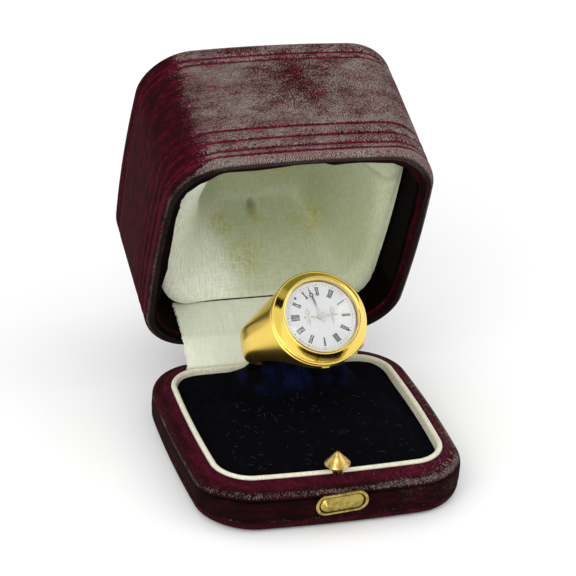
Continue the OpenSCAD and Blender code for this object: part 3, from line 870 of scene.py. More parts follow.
def paint(name, colour, rough):
    made, tree, shader = material(name, Specular_IOR_Level=0.4)
    place = head_space(tree)
    grain = cloud(tree, place, 6.0, 3.0)
    lighter = tuple(min(1.0, c * 1.35) for c in colour[:3]) + (1.0,)
    tree.links.new(blended(tree, grain, colour, lighter), shader.inputs["Base Color"])
    tree.links.new(stepped(tree, grain, 0.3, 0.7, rough, rough + 0.15), shader.inputs["Roughness"])
    return made


def blued_steel():
    """Steel blued dark at the hand's tip and polished bright towards its hub."""
    made, tree, shader = material("Blued steel", Metallic=1.0)
    place = head_space(tree)
    marks = use(tree, TARNISH, Place=place, Film=0.5)
    flat = stretched(tree, place, (1.0, 1.0, 0.0))
    reach = put(tree, "ShaderNodeVectorMath", {"operation": "LENGTH"}, i0=flat).outputs["Value"]
    dark = blended(tree, marks["Film"], (0.05, 0.045, 0.05, 1), (0.03, 0.026, 0.03, 1))
    bright = stepped(tree, reach, 1.6, 3.0, 1.0, 0.0)
    tree.links.new(blended(tree, bright, dark, (0.74, 0.73, 0.7, 1)), shader.inputs["Base Color"])
    tree.links.new(stepped(tree, marks["Roughness"], 0.14, 0.5, 0.25, 0.4), shader.inputs["Roughness"])
    bumped(tree, shader, marks["Height"], 0.000001, 0.2)
    return made


# The small dimple in the pad
PAD_DIMPLE = (0.5, 11.3, 0.0)

# Where the satin of the pad is stained: the middle of a spot in the shut lid, and its reach
PAD_STAINS = (
    ((-6.5, 12.8, 21.5), 4.4),
    ((1.0, 12.2, 22.5), 3.4),
    ((-2.5, 15.7, 14.7), 6.0),
    ((11.5, 11.5, 21.0), 6.4),
    ((7.5, 4.0, 25.0), 5.0),
)


def pad_painted_shade(tree, place):
    """Painted shade on the satin: darker towards the right, deep in the hollow, towards the front and in the
    dimple; the band left of the fold is kept light, as painted light.
    """
    parts = put(tree, "ShaderNodeSeparateXYZ", Vector=place).outputs
    # Painted light: the band left of the fold is kept out of the painted shade
    fold = stepped(tree, parts[1], 1.0, 19.0, -14.6, -6.0)
    past = maths(tree, "SUBTRACT", parts[0], fold)
    lit_to = stepped(tree, parts[1], -2.0, 12.0, -0.3, -5.0)
    shaded_from = stepped(tree, parts[1], -2.0, 12.0, 1.6, 6.0)
    in_shade = stepped(tree, past, lit_to, shaded_from)
    # Painted shade, one share at a time: towards the right, past the rim into the hollow, deeper in it, and
    # towards the front
    yield stepped(tree, parts[0], 7.0, 15.0, 0.0, 0.8), tone(190, 197, 164)
    yield product(tree, stepped(tree, parts[2], 7.2, 9.6, 0.0, 0.9), in_shade), tone(181, 188, 154)
    yield product(tree, stepped(tree, parts[2], 13.0, 22.0, 0.0, 0.5), in_shade), tone(172, 180, 145)
    yield product(tree, stepped(tree, parts[1], -14.0, -2.0, 0.4, 0.0), in_shade), tone(162, 170, 136)
    flat = stretched(tree, place, (1.0, 1.0, 0.0))
    # Painted shade in the small dimple
    yield stepped(tree, away_from(tree, flat, PAD_DIMPLE), 0.2, 1.5, 0.6, 0.0), tone(96, 104, 84)


LID_VELVET = burgundy_velvet("Burgundy velvet of the lid", lid_space, (28.9, 29.7), lid_wear_and_shade,
                             tone(40, 7, 12), tone(104, 17, 38))
# The base's pile is given darker than the lid's, as painted shade
TRAY_VELVET = burgundy_velvet("Burgundy velvet of the base", tray_space, (-8.5, -8.3, 1.0, 0.0), tray_wear_and_shade,
                              tone(36, 9, 13), tone(86, 18, 34))
NAVY = navy_velvet()
BLACK = black_velvet()
COLLAR_SILK = silk_cloth("Cream silk", tray_space, tone(198, 194, 168), tone(232, 230, 210), 5.0, 1.6,
                         Roughness=0.62, Sheen_Weight=0.1, Sheen_Roughness=0.4)
PAD_SATIN = silk_cloth("Pale satin of the pad", lid_space, tone(238, 243, 222), tone(253, 255, 241), 4.5, 0.5,
                       PAD_STAINS, pad_painted_shade, Roughness=0.4, Sheen_Weight=0.12, Sheen_Roughness=0.4)
STRIP_SATIN = silk_cloth("Pale satin of the strip", tray_space, tone(212, 218, 196), tone(234, 238, 220),
                         10.0, 0.6, Roughness=0.4, Sheen_Weight=0.1, Sheen_Roughness=0.45)
SATIN_GOLD = old_metal("Gold of the hoop", head_space, (0.93, 0.67, 0.14, 1), (0.86, 0.62, 0.12, 1), 0.4,
                       (0.27, 0.4))
GOLD = old_metal("Polished gold", head_space, (0.93, 0.67, 0.13, 1), (0.84, 0.6, 0.11, 1), 0.4, (0.13, 0.24))
BRASS = old_metal("Old brass", tray_space, (0.62, 0.42, 0.13, 1), (0.26, 0.18, 0.05, 1), 0.55)
DULL_BRASS = old_metal("Dull brass", tray_space, (0.5, 0.39, 0.1, 1), (0.22, 0.17, 0.04, 1), 0.55)
HINGE_BRASS = old_metal("Hinge brass", tray_space, (0.62, 0.43, 0.18, 1), (0.3, 0.2, 0.08, 1), 0.6)
ENAMEL = enamel()
GLASS = glass()
GREY_STEEL = old_metal("Grey steel", head_space, (0.78, 0.76, 0.72, 1), (0.62, 0.6, 0.55, 1), 0.5,
                       (0.35, 0.5))
DARK_STEEL = blued_steel()
INK = paint("Dial ink", tone(34, 44, 54), 0.4)
DIAL_GOLD = paint("Dial gold", tone(178, 152, 92), 0.35)


# Base

def make_base():
    rows = [(-8.6, 2.2), (-8.5, 1.3), (-8.1, 0.6), (-7.3, 0.22), (-6.4, 0.08), (-5.9, 0.2), (-5.4, 0.02),
            (-4.0, 0.0), (-3.1, 0.0), (-2.5, 0.02), (-2.0, 0.1), (-1.5, 0.26), (-1.08, 0.52), (-0.82, 0.92),
            (-0.64, 1.32), (-0.58, 1.7), (-0.3, 2.1)]
    profile = rounded_profile(rows)
    outlines = [at_height(box_outline(inset), z) for z, inset in profile]
    inner = [(collar_outline(-0.45), 0.06), (collar_outline(-0.12), 0.02), (collar_outline(-0.05), -0.4),
             (collar_outline(-0.05), -3.0), (collar_outline(-0.05), -6.9)]
    outlines += [at_height(outline, z) for outline, z in inner]
    insets = [inset for z, inset in profile] + [3.0 + i for i in range(len(inner))]
    base = pull_wall("base_velvet", outlines)
    cut(base, [block("strip_room", (-18.1, 19, -3), (18.1, 21.35, 1)),
               block("foot_room", (-3, -24.2, -7), (3, -19, -1.9)),
               block("stem_room", (-1.3, -21.6, -3), (0.75, -19, 1)),
               clasp_bar("button_way", *BUTTON_WAY, -1.4, 1.6)])
    mark_wall(base, outlines, insets)
    settle(base, BASE_PLACE)
    smooth(base, 40)
    dress(base, TRAY_VELVET, "tray", "burgundy_velvet", "base_shell")


# Width and height of the push button's way through the brass frame and the front wall
BUTTON_WAY = (8.8, 3.2)
CLASP_PLACE = (Matrix.Translation((-0.75 * MM, -(BOX_HALF_D + BOX_BOW) * MM, -3.3 * MM))
               @ Matrix.Rotation(math.radians(-4), 4, "Y") @ Matrix.Rotation(math.radians(90), 4, "X"))


def clasp_bar(name, width, height, low, high, steps=24):
    """A bar with round ends on the box's front, from low to high along its outward axis."""
    deselect()
    bpy.ops.mesh.primitive_circle_add(vertices=2 * steps, radius=height / 2 * MM, fill_type="NGON")
    bar = named(name)
    mesh = edit(bar)
    for vertex in mesh.verts:
        side = 1 if vertex.co.x > 0 else -1
        vertex.co.x += side * (width - height) / 2 * MM
        vertex.co.z = low * MM
    bmesh.update_edit_mesh(bar.data)
    bpy.ops.mesh.extrude_region_move(TRANSFORM_OT_translate={"value": (0, 0, (high - low) * MM)})
    leave()
    outward(bar)
    settle(bar, CLASP_PLACE)
    return bar


def make_collar():
    section = [(-2.2, 0.0), (-1.2, 0.0), (-0.4, 0.0), (0.1, 0.06), (0.34, 0.24), (0.45, 0.55), (0.34, 0.86),
               (0.1, 1.04), (-0.4, 1.08), (-1.2, 1.1), (-2.2, 1.1)]
    outlines = []
    for z, inset in rounded_profile(section, 3):
        outlines.append(at_height(collar_outline(inset), z))
    collar = pull_wall("silk_collar", outlines, tube=True)
    cut(collar, [block("stem_room", (-1.3, -23, -3), (0.75, -18, 1))])
    settle(collar, BASE_PLACE)
    smooth(collar, 45)
    dress(collar, COLLAR_SILK, "tray", "cream_silk", "collar")


def hump_height(x, y):
    side = ramp(-abs(x - 2.2), -13.2, -7.5)
    along = ramp(y, 4.5, 13.6) if y < 13.6 else 1 - 0.8 * ramp(y, 13.6, 20)
    return 6.3 * side * along


def cushion_height(x, y):
    edge = max(0.0, min(1.0, min(21.2 - abs(x), 19.3 - abs(y)) / 9))
    crown = -1.4 + 0.7 * math.sin(math.pi / 2 * edge) + 0.6 * ramp(y, 9, 18)
    ripple = 0.16 * noise.noise(Vector((x * 0.22, y * 0.22, 3.1))) * edge
    dents = 0.07 * noise.noise(Vector((x * 0.8, y * 0.8, 7.7))) * edge
    hump = -1.4 + hump_height(x, y)
    blend_width = 0.8
    close = max(0.0, 1 - abs(crown - hump) / blend_width)
    fillet = 0.2 * blend_width * close * close * (1 if hump > -1 else 0)
    return max(crown, hump) + fillet + ripple + dents


def make_cushion():
    cushion = stuffed_block("velvet_cushion", collar_outline(1.22), cushion_height, -6.7, 120,
                            Matrix.Identity(4))
    hoop_place = (Matrix.Translation(HEAD * MM) @ Matrix.Rotation(DIAL_TILT, 4, "X")
                  @ Matrix.Translation((0, 0, -HOOP_DROP * MM)) @ Matrix.Rotation(math.radians(90), 4, "X"))
    discs = []
    for radius, reach in ((12.1, 3.75), (9.05, 6.0)):
        deselect()
        bpy.ops.mesh.primitive_cylinder_add(vertices=96, radius=radius * MM, depth=2 * reach * MM)
        disc = named("slot_disc")
        disc.matrix_world = hoop_place
        discs.append(disc)
    outer, inner = discs
    finish_with(outer, "BOOLEAN", operation="DIFFERENCE", object=inner, solver="EXACT")
    bpy.data.objects.remove(inner)
    cut(cushion, [outer, block("stem_room", (-1.5, -22, -8.5), (1.1, -18.6, 0.5)),
                  block("foot_room", (-3.1, -22.8, -8.1), (3.1, -19.2, -1.9))])
    settle(cushion, BASE_PLACE)
    smooth(cushion, 50)
    dress(cushion, NAVY, "tray", "navy_velvet", "cushion")


# Lid

def turned_in(z, reach):
    """The velvet's torn edge under the rim, at the front and the sides but not at the catch."""
    torn = []
    for x, y in lid_outline(LID_WALL, z):
        tear = 0.75 + 0.5 * noise.noise(Vector((x * 0.3, y * 0.3, 2.5)))
        tear += 0.3 * noise.noise(Vector((x, y, 8.1)))
        here = ramp(-y, -12, -2) * (ramp(abs(x + 0.2), 3.2, 4.6) if y < 0 else 1)
        inwards = Vector((-x, -y)).normalized() * (0.05 + max(0.0, tear) * here * reach)
        torn.append((x + inwards.x, y + inwards.y))
    return at_height(torn, z)


def make_lid_shell():
    rows = [(0.26, 2.1), (0.1, 1.75), (0.02, 1.35), (-0.02, 1.0), (0.12, 0.55), (0.5, 0.16), (1.2, 0.0),
            (2.6, 0.04), (3.2, 0.34), (3.8, 0.02), (4.9, 0.0), (5.5, 0.3), (6.1, 0.0), (7.4, 0.0),
            (8.0, 0.24), (8.6, 0.0), (12.5, -0.02), (16.5, -0.02), (20.5, -0.02), (24.2, 0.0),
            (24.9, 0.24), (25.7, 0.02), (26.3, 0.28), (26.9, 0.05), (28.2, 0.08), (29.1, 0.5),
            (29.7, 1.2), (29.96, 2.1), (LID_H, 3.0)]
    outlines = [at_height(lid_outline(LID_WALL, z), z) for z in (LID_CEILING, 14, 2)]
    outlines += [turned_in(z, reach) for z, reach in ((0.8, 0), (0.62, 1), (0.44, 1), (0.34, 0))]
    insets = [LID_WALL] * len(outlines)
    for z, inset in rounded_profile(rows):
        outlines.append(at_height(lid_outline(inset, z), z))
        insets.append(inset)
    shell = pull_wall("lid_velvet", outlines)
    mark_wall(shell, outlines, insets)
    settle(shell, LID_PLACE)
    smooth(shell, 45)
    dress(shell, LID_VELVET, "lid", "burgundy_velvet", "lid_shell")


def make_lining():
    outlines = []
    for z, inset in ((1.8, 2.2), (8, 2.16), (18, 2.16), (27.5, 2.16), (27.5, 3.1), (18, 3.1), (8, 3.1),
                     (2.1, 3.1), (1.75, 2.95), (1.65, 2.6)):
        outlines.append(at_height(lid_outline(inset, z), z))
    lining = pull_wall("black_lining", outlines, tube=True)
    cut(lining, [block("strip_room", (-25, 12, 1), (25, 25, 9.2)),
                 block("catch_room", (-3.6, -25, 1), (3.2, -18, 6))])
    settle(lining, LID_PLACE)
    smooth(lining, 45)
    dress(lining, BLACK, "lid", "black_velvet", "lid_lining")


def soft_max(a, b, width):
    return max(a, b) + width / 4 * max(0.0, 1 - abs(a - b) / width) ** 2


def soft_min(a, b, width):
    return -soft_max(-a, -b, width)


def bump_at(x, y, cx, cy, reach_x, reach_y, turn=0.0):
    """A soft round bump, 1 at its middle."""
    dx, dy = x - cx, y - cy
    c, w = math.cos(turn), math.sin(turn)
    return math.exp(-((dx * c + dy * w) / reach_x) ** 2 - ((dy * c - dx * w) / reach_y) ** 2)


def from_pad_edge(x, y):
    return min(PAD_HALF_W - abs(x - PAD_SHIFT), 21 - y, 22.3 + y)


def pad_hollow(x, y):
    """The pad's rims and the deep print of the ring between them, in the shut lid."""
    s = 1 - min(1.0, max(0.0, from_pad_edge(x, y) / 3.6))
    rim = 6.4 - 2 * ramp(x, 4, 20) + 2.6 * (1 - math.sqrt(max(0.0, 1 - s * s)))
    behind = max(0.0, 2.24 * (y - 10.35))
    before = max(0.0, 0.8 * (3.18 - y))
    d = max(0.0, abs(x - HEAD.x + LID_SHIFT) - 10.0)
    fall = 2.1 if x > HEAD.x else 1.45
    beside = 3.2 * min(d, 2.0) + fall * max(0.0, d - 2.0)
    return soft_max(rim, 26.9 - math.hypot(behind, before, beside), 6)


def pad_height(x, y):
    """The pad's face: its hollow, softened, and the folds of the satin."""
    height = pad_hollow(x, y)
    for reach in (1.4, 2.8):
        for turn in range(8):
            a = math.radians(45 * turn)
            height += pad_hollow(x + reach * math.cos(a), y + reach * math.sin(a))
    height /= 17
    # The left rim ends in a crisp fold near the front, which fades on its way back
    fold_x = -12.3 - 2.7 * ramp(y, -17, -10) + 2.2 * ramp(y, -4, 6)
    past = x - fold_x
    fold = 2.6 * ramp(past, -0.35, 0.35) * math.exp(-max(0.0, past) / 5)
    height += fold * ramp(y, -20, -16) * ramp(-y, -8, 1)
    folds = 0.3 * noise.noise(Vector((x * 0.11 + 4, y * 0.08, 0.4)))
    folds += 1.3 * bump_at(x, y, PAD_DIMPLE[0], PAD_DIMPLE[1], 0.9, 0.7)
    folds -= 1.5 * bump_at(x, y, 13.5, -14.6, 6.0, 1.3, 0.3)
    folds += 2.0 * bump_at(x, y, 14.5, -11.4, 5.0, 1.6, 0.25)
    height += folds * min(1.0, max(0.0, from_pad_edge(x, y) / 2.5))
    return soft_min(height, PAD_FOOT - 0.15, 0.6)


def make_pad():
    pad = stuffed_block("satin_pad", pad_outline(7), pad_height, PAD_FOOT, 150, LID_PLACE,
                        pad_outline(PAD_FOOT))
    dress(pad, PAD_SATIN, "lid", "pale_satin", "lid_pad")


# Hinge strip

def opened(y, z):
    """Place of a point of the shut lid once the lid stands open."""
    dy, dz = y - HINGE_Y, z - HINGE_Z
    return Vector((HINGE_Y + dy * math.cos(LID_OPEN) + dz * math.sin(LID_OPEN),
                   HINGE_Z - dy * math.sin(LID_OPEN) + dz * math.cos(LID_OPEN)))


def strip_line(x):
    """The strip's middle line at x, from behind the pad down into the slot behind the collar."""
    corner = BOX_CORNER - 0.4 * LID_WALL - 0.12
    into = max(0.0, abs(x - LID_SHIFT) - (LID_HALF_W - LID_WALL - corner))
    wall_y = BOX_HALF_D - LID_WALL - 0.4 - corner + math.sqrt(corner * corner - into * into)
    rows = [opened(wall_y - 0.1, 8.8), opened(wall_y - 0.05, 5.5), opened(wall_y, 3.0), opened(wall_y, 0.4),
            opened(wall_y + 0.05, -0.4), (23.2, 2.7), (21.6, 1.2), (20.83, 0.0), (20.8, -1.3), (20.8, -2.6)]
    return rounded_profile([tuple(row) for row in rows], 6)


def line_length(line):
    return sum((b - a).length for a, b in zip(line, line[1:]))


def make_strip():
    half_w = 17.5
    across, down = 110, 60
    whole = line_length(strip_line(0))
    deselect()
    bpy.ops.mesh.primitive_grid_add(x_subdivisions=across, y_subdivisions=down, size=2)
    strip = named("satin_strip")
    mesh = edit(strip)
    for vertex in mesh.verts:
        u, v = vertex.co.x, (vertex.co.y + 1) / 2
        line = strip_line(half_w * u)
        left = v * line_length(line)
        k = 0
        while k < len(line) - 2 and left > (line[k + 1] - line[k]).length:
            left -= (line[k + 1] - line[k]).length
            k += 1
        along = (line[k + 1] - line[k]).normalized()
        side = Vector((-along.y, along.x))
        slack = math.sin(math.pi * v) * (0.12 * noise.noise(Vector((u * 9, v * 2.0, 1.5)))
                                         + 0.08 * noise.noise(Vector((u * 26, v * 3, 5.2))))
        frayed = 0.0
        if abs(u) > 0.999:
            frayed = 0.3 * noise.noise(Vector((v * 30, 4.0 * u, 0.7)))
            frayed += 0.15 * noise.noise(Vector((v * 90, 7.0 * u, 2.7)))
        spot = line[k] + along * left + side * slack
        vertex.co = Vector((half_w * u + frayed, spot.x, spot.y)) * MM
    bmesh.update_edit_mesh(strip.data)
    leave()
    finish_with(strip, "SOLIDIFY", thickness=0.4 * MM, offset=0.0)
    outward(strip)
    smooth(strip, 60)
    settle(strip, BASE_PLACE)
    strip.data.materials.clear()
    strip.data.materials.append(STRIP_SATIN)
    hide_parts("hinge_strip")
    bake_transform(strip)


# Ring

def band_points():
    """Points over the hoop and the case, dense enough for a smooth skin."""
    spots = []
    ball = 1.7
    for i in range(109):
        t = -108 + 2 * i
        away = min(abs(t), 90)
        rise = math.sin(math.radians(away)) ** 2
        reach = 10.8 + 1.1 * rise - ball
        half = 2.4 + 1.15 * (1 - math.cos(math.radians(away)))
        middle = Vector((math.sin(math.radians(t)), 0, -math.cos(math.radians(t))))
        for k in range(13):
            a = math.radians(-90 + 15 * k)
            y = math.copysign(half - ball, math.sin(a)) + ball * math.sin(a) if k != 6 else 0.0
            out = ball * math.cos(a) + (0.12 if k == 6 else 0.0)
            spots.append(middle * (reach + out) + Vector((0, y, -HOOP_DROP)))
    for i in range(128):
        a = 2 * math.pi * i / 128
        for r, z in ((9.0, -2.9), (9.08, -2.2), (9.15, -1.5), (9.2, -1.05), (9.18, -0.8), (9.05, -0.7)):
            spots.append(Vector((r * math.cos(a), r * math.sin(a), z)))
    return spots


def make_ring_body():
    deselect()
    bpy.ops.mesh.primitive_uv_sphere_add(segments=8, ring_count=6, radius=MM)
    body = named("gold_ring")
    mesh = edit(body)
    bmesh.ops.delete(mesh, geom=list(mesh.verts), context="VERTS")
    for spot in band_points():
        mesh.verts.new(spot * MM)
    bmesh.update_edit_mesh(body.data)
    bpy.ops.mesh.select_all(action="SELECT")
    bpy.ops.mesh.convex_hull()
    bpy.ops.mesh.select_all(action="SELECT")
    bpy.ops.mesh.delete_loose()
    leave()
    finish_with(body, "REMESH", mode="VOXEL", voxel_size=0.16 * MM)
    finish_with(body, "SMOOTH", factor=0.5, iterations=16)
    deselect()
    bpy.ops.mesh.primitive_cylinder_add(vertices=256, radius=FINGER_R * MM, depth=40 * MM,
                                        location=(0, 0, -HOOP_DROP * MM), rotation=(math.radians(90), 0, 0))
    finger = named("finger_cutter")
    deselect()
    bpy.ops.mesh.primitive_cylinder_add(vertices=192, radius=7.2 * MM, depth=4 * MM,
                                        location=(0, 0, 0.3 * MM))
    well = named("well_cutter")
    cut(body, [finger, well])
    lip = make_thumb_lip()
    body = weld([body, lip], "gold_ring")
    settle(body, HEAD_PLACE)
    smooth(body, 32)
    dress(body, SATIN_GOLD, "tray", "gold", "ring_body")


def make_thumb_lip():
    """The small lip under the rim at six o'clock, to open the bezel with a nail."""
    deselect()
    bpy.ops.mesh.primitive_cube_add(size=1)
    lip = named("thumb_lip")
    lip.scale = (1.4 * MM, 1.0 * MM, 0.36 * MM)
    lip.location = (0, -8.9 * MM, -1.2 * MM)
    pick(lip)
    bpy.ops.object.transform_apply(location=True, rotation=False, scale=True)
    finish_with(lip, "BEVEL", width=0.16 * MM, segments=4)
    return lip


def make_bezel():
    rows = [(7.0, -0.4), (8.95, -0.4), (9.14, -0.3), (9.25, 0.0), (9.19, 0.26), (9.03, 0.4), (8.88, 0.4),
            (8.8, 0.5), (8.5, 0.86), (8.1, 1.42), (7.75, 2.02), (7.63, 2.2), (7.52, 2.26), (7.42, 2.2)]
    curve = [tuple(p) for p in rounded_profile(rows[1:], 5)]
    profile = [rows[0]] + curve + [(7.4, 1.76), (7.0, 1.74), (7.0, 1.2), (6.88, 1.08), (7.0, 0.98)]
    bezel = turned("gold_bezel", profile, HEAD_PLACE, 256)
    dress(bezel, GOLD, "tray", "gold", "bezel")


def make_crystal():
    rise, thick, foot, edge, radius = 1.25, 0.7, 1.8, 2.2, 7.35
    ball = (radius * radius + rise * rise) / (2 * rise)
    centre = edge + rise - ball
    profile = []
    for i in range(25):
        r = radius * i / 24
        profile.append((r, centre + math.sqrt(ball * ball - r * r)))
    profile.append((radius, foot))
    inner = radius - thick
    profile.append((inner, foot))
    for i in range(24, -1, -1):
        r = inner * i / 24
        profile.append((r, centre + math.sqrt((ball - thick) ** 2 - r * r)))
    crystal = turned("glass_crystal", profile, HEAD_PLACE, 128, closed=False)
    dress(crystal, GLASS, "tray", "crystal_glass", "crystal")


# Dial

def stroke(x0, y0, x1, y1, width):
    """One painted stroke on the dial, as a thin flat bar."""
    a, b = Vector((x0, y0, 0)), Vector((x1, y1, 0))
    deselect()
    bpy.ops.mesh.primitive_plane_add(size=1)
    bar = named("stroke")
    bar.matrix_world = (Matrix.Translation((a + b) / 2 * MM)
                        @ Matrix.Rotation(math.atan2(b.y - a.y, b.x - a.x), 4, "Z")
                        @ Matrix.Diagonal(((b - a).length * MM, width * MM, 1, 1)))
    pick(bar)
    bpy.ops.object.transform_apply(location=True, rotation=True, scale=True)
    return bar


NUMERALS = ("XII", "I", "II", "III", "IIII", "V", "VI", "VII", "VIII", "IX", "X", "XI")
LETTER_WIDTH = {"I": 0.25, "V": 0.46, "X": 0.46}


def numeral(word, turn):
    """A Roman numeral with its head outwards, turned clockwise from the dial's top."""
    high, low = 5.65, 4.15
    width = sum(LETTER_WIDTH[letter] for letter in word)
    x = -width / 2
    bars = []
    for letter in word:
        step = LETTER_WIDTH[letter]
        if letter == "I":
            bars.append(stroke(x + step / 2, low, x + step / 2, high, 0.19))
        elif letter == "V":
            bars.append(stroke(x + 0.09, high, x + step / 2, low, 0.2))
            bars.append(stroke(x + step - 0.05, high, x + step / 2, low, 0.1))
        else:
            bars.append(stroke(x + 0.09, high, x + step - 0.09, low, 0.22))
            bars.append(stroke(x + step - 0.06, high, x + 0.06, low, 0.1))
        x += step
    bars.append(stroke(-width / 2, high, width / 2, high, 0.1))
    bars.append(stroke(-width / 2, low, width / 2, low, 0.1))
    done = weld(bars, "numeral_" + word.lower())
    settle(done, Matrix.Rotation(math.radians(-turn), 4, "Z"))
    return done


def thicken_paint(piece):
    edit(piece)
    bpy.ops.mesh.select_all(action="SELECT")
    bpy.ops.mesh.normals_make_consistent(inside=False)
    bpy.ops.mesh.extrude_region_move(TRANSFORM_OT_translate={"value": (0, 0, PAINT_THICK * MM)})
    bpy.ops.mesh.select_all(action="SELECT")
    bpy.ops.mesh.normals_make_consistent(inside=False)
    leave()
    settle(piece, HEAD_PLACE @ Matrix.Translation((0, 0, (DIAL_TOP + PAINT_LIFT) * MM)))


def make_numerals():
    words = [numeral(word, DIAL_TURN + 30 * i) for i, word in enumerate(NUMERALS)]
    ticks = []
    for i in range(60):
        a = math.radians(DIAL_TURN + 6 * i)
        foot = 6.0
        head = foot + (0.28 if i % 5 == 0 else 0.2)
        ticks.append(stroke(foot * math.sin(a), foot * math.cos(a), head * math.sin(a), head * math.cos(a),
                            0.12 if i % 5 == 0 else 0.07))
    for turn in (312, 122):
        deselect()
        a = math.radians(turn)
        spot = (5.75 * math.sin(a) * MM, 5.75 * math.cos(a) * MM, 0)
        bpy.ops.mesh.primitive_circle_add(vertices=24, radius=0.24 * MM, fill_type="NGON", location=spot)
        dot = named("dial_pin")
        pick(dot)
        bpy.ops.object.transform_apply(location=True, rotation=False, scale=False)
        ticks.append(dot)
    paint_work = weld(words + ticks, "dial_numerals")
    thicken_paint(paint_work)
    dress(paint_work, INK, "tray", "dark_steel")


def scroll(cx, cy, size, turns, way, start):
    """A thin gilt scroll that winds in towards its eye."""
    count = 22
    spots = []
    for i in range(count + 1):
        t = i / count
        r = size * (1 - 0.82 * t)
        a = start + way * turns * 2 * math.pi * t
        spots.append((cx + r * math.cos(a), cy + r * math.sin(a)))
    return [stroke(x0, y0, x1, y1, 0.075) for (x0, y0), (x1, y1) in zip(spots, spots[1:])]


def make_scrolls():
    bars = []
    for side in (-1, 1):
        cx = side * 2.25
        bars += scroll(cx, 0.95, 0.62, 1.2, -side, math.radians(90))
        bars += scroll(cx, -0.75, 0.5, 1.2, side, math.radians(-90))
        bars += scroll(cx + side * 0.75, 0.1, 0.3, 1.1, side, math.radians(0))
        bars += scroll(cx - side * 0.7, 0.1, 0.26, 1.1, -side, math.radians(180))
        bars.append(stroke(cx, -1.9, cx, 1.9, 0.045))
        bars.append(stroke(cx - 0.9, 0.12, cx + 0.9, 0.12, 0.045))
    gilding = weld(bars, "dial_scrolls")
    thicken_paint(gilding)
    dress(gilding, DIAL_GOLD, "tray", "gold")


def make_dial():
    profile = [(0.34, 0.5), (6.78, 0.5), (6.78, 0.84), (6.72, 0.89), (6.6, 0.9), (0.42, 0.9), (0.34, 0.88)]
    dial = turned("enamel_dial", profile, HEAD_PLACE, 192)
    dress(dial, ENAMEL, "tray", "white_enamel", "dial")


# Clasp

def make_escutcheon():
    plate = clasp_bar("brass_escutcheon", 10.1, 4.1, 0.05, 0.62, 40)
    hole = clasp_bar("escutcheon_hole", *BUTTON_WAY, -1, 2, 40)
    cut(plate, [hole])
    outward(plate, 0.001 * MM)
    finish_with(plate, "BEVEL", width=0.16 * MM, segments=4, limit_method="ANGLE",
                angle_limit=math.radians(40))
    smooth(plate, 35)
    settle(plate, BASE_PLACE)
    dress(plate, DULL_BRASS, "tray", "yellow_brass", "escutcheon")


def fibre(spots, radius):
    """A fine thread through its points."""
    curve = bpy.data.curves.new("fibre", "CURVE")
    curve.dimensions = "3D"
    curve.bevel_depth = radius * MM
    curve.bevel_resolution = 0
    line = curve.splines.new("POLY")
    line.points.add(len(spots) - 1)
    for point, spot in zip(line.points, spots):
        point.co = (*(Vector(spot) * MM), 1)
    piece = bpy.data.objects.new("fibre", curve)
    bpy.context.collection.objects.link(piece)
    pick(piece)
    bpy.ops.object.convert(target="MESH")
    return bpy.context.object


def chance(seed):
    """A scattered number from 0 to 1 that is always the same for the same seed."""
    return (math.sin(seed * 12.9898) * 43758.5453) % 1.0


def make_lint():
    threads = []
    for i in range(90):
        x = -17 + 34 * chance(i)
        y = -16 + 24 * chance(i + 100)
        length = 0.3 + 1.1 * chance(i + 200)
        heading = 2 * math.pi * chance(i + 300)
        curl = (chance(i + 400) - 0.5) * 2.4
        spots = []
        for k in range(6):
            a = heading + curl * k / 5
            arch = 0.3 * math.sin(math.pi * k / 5) * chance(i + 500)
            spots.append((x, y, cushion_height(x, y) + 0.1 + arch + SEAM))
            x += length / 5 * math.cos(a)
            y += length / 5 * math.sin(a)
        threads.append(fibre(spots, 0.008))
    lint = weld(threads, "lint_threads")
    made, tree, shader = material("Lint", Roughness=0.8)
    patches = cloud(tree, tray_space(tree), 1.0)
    tree.links.new(blended(tree, patches, tone(60, 66, 80), tone(120, 124, 134)), shader.inputs["Base Color"])
    dress(lint, made, "tray", "cream_silk")


make_base()
make_collar()
make_cushion()
make_lid_shell()
make_lining()
make_pad()
make_strip()
make_ring_body()
make_bezel()
make_crystal()
make_dial()
make_numerals()
make_scrolls()
make_escutcheon()
make_lint()

# Pieces that keep their own solids

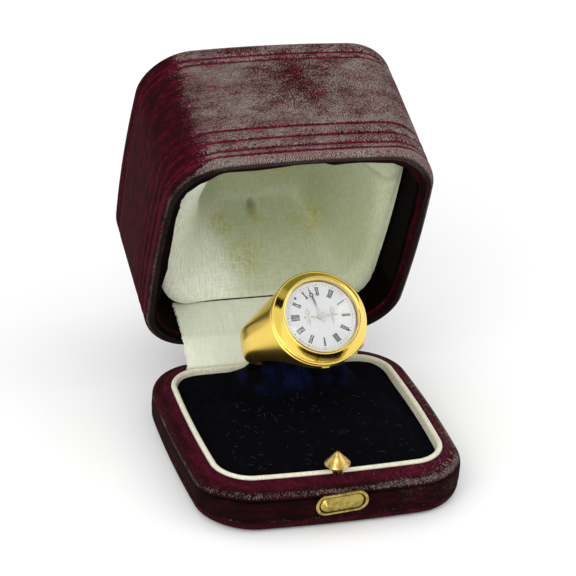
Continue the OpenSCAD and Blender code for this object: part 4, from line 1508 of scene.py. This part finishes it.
for node_name, finish in (("hand_post", GREY_STEEL), ("hour_hand", GREY_STEEL), ("minute_hand", DARK_STEEL),
                          ("push_button", DULL_BRASS), ("catch", BRASS), ("hinge_base", HINGE_BRASS),
                          ("hinge_lid", HINGE_BRASS), ("hinge_pin", HINGE_BRASS)):
    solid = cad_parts[node_name]
    solid.data.materials.clear()
    solid.data.materials.append(finish)


# Floor, light and camera

deselect()
bpy.ops.mesh.primitive_plane_add(size=3, location=(0, 0, -0.0002))
floor = named("floor")
floor_finish, floor_tree, floor_shader = material("Pale floor", Base_Color=tone(250, 250, 250), Roughness=0.9)
floor.data.materials.append(floor_finish)

world = bpy.data.worlds.new("Studio")
bpy.context.scene.world = world
world.use_nodes = True
world.node_tree.nodes["Background"].inputs["Color"].default_value = (1, 1, 1, 1)
world.node_tree.nodes["Background"].inputs["Strength"].default_value = 0.9
bpy.context.scene.view_settings.view_transform = "Standard"


def soft_light(name, place, aim, size, radiance):
    """A square lamp cloth of a size in millimetres, as bright as radiance wherever it is mirrored."""
    deselect()
    bpy.ops.object.light_add(type="AREA", location=[c * MM for c in place])
    light = bpy.context.object
    light.name = name
    light.data.size = size * MM
    light.data.energy = radiance * math.pi * (size * MM) ** 2
    heading = Vector(aim) * MM - light.location
    light.rotation_euler = heading.to_track_quat("-Z", "Y").to_euler()


soft_light("key_light", (-520, -620, 520), (0, 10, 25), 700, 2.8)
soft_light("fill_light", (700, -260, 520), (0, 10, 25), 600, 0.9)

# The camera stands where the outlines of base and lid place it; right and back are its own axes
deselect()
bpy.ops.object.camera_add(location=(-0.13666, -0.37146, 0.24451))
camera = bpy.context.object
camera.name = "camera"
right = Vector((0.9527, -0.2948, 0.0741)).normalized()
back = Vector((-0.2943, -0.8336, 0.4675)).normalized()
up = back.cross(right).normalized()
right = up.cross(back).normalized()
camera.rotation_euler = Matrix((right, up, back)).transposed().to_euler()
camera.data.lens = 152.08
camera.data.sensor_width = 36
camera.data.clip_start = 0.01
bpy.context.scene.camera = camera
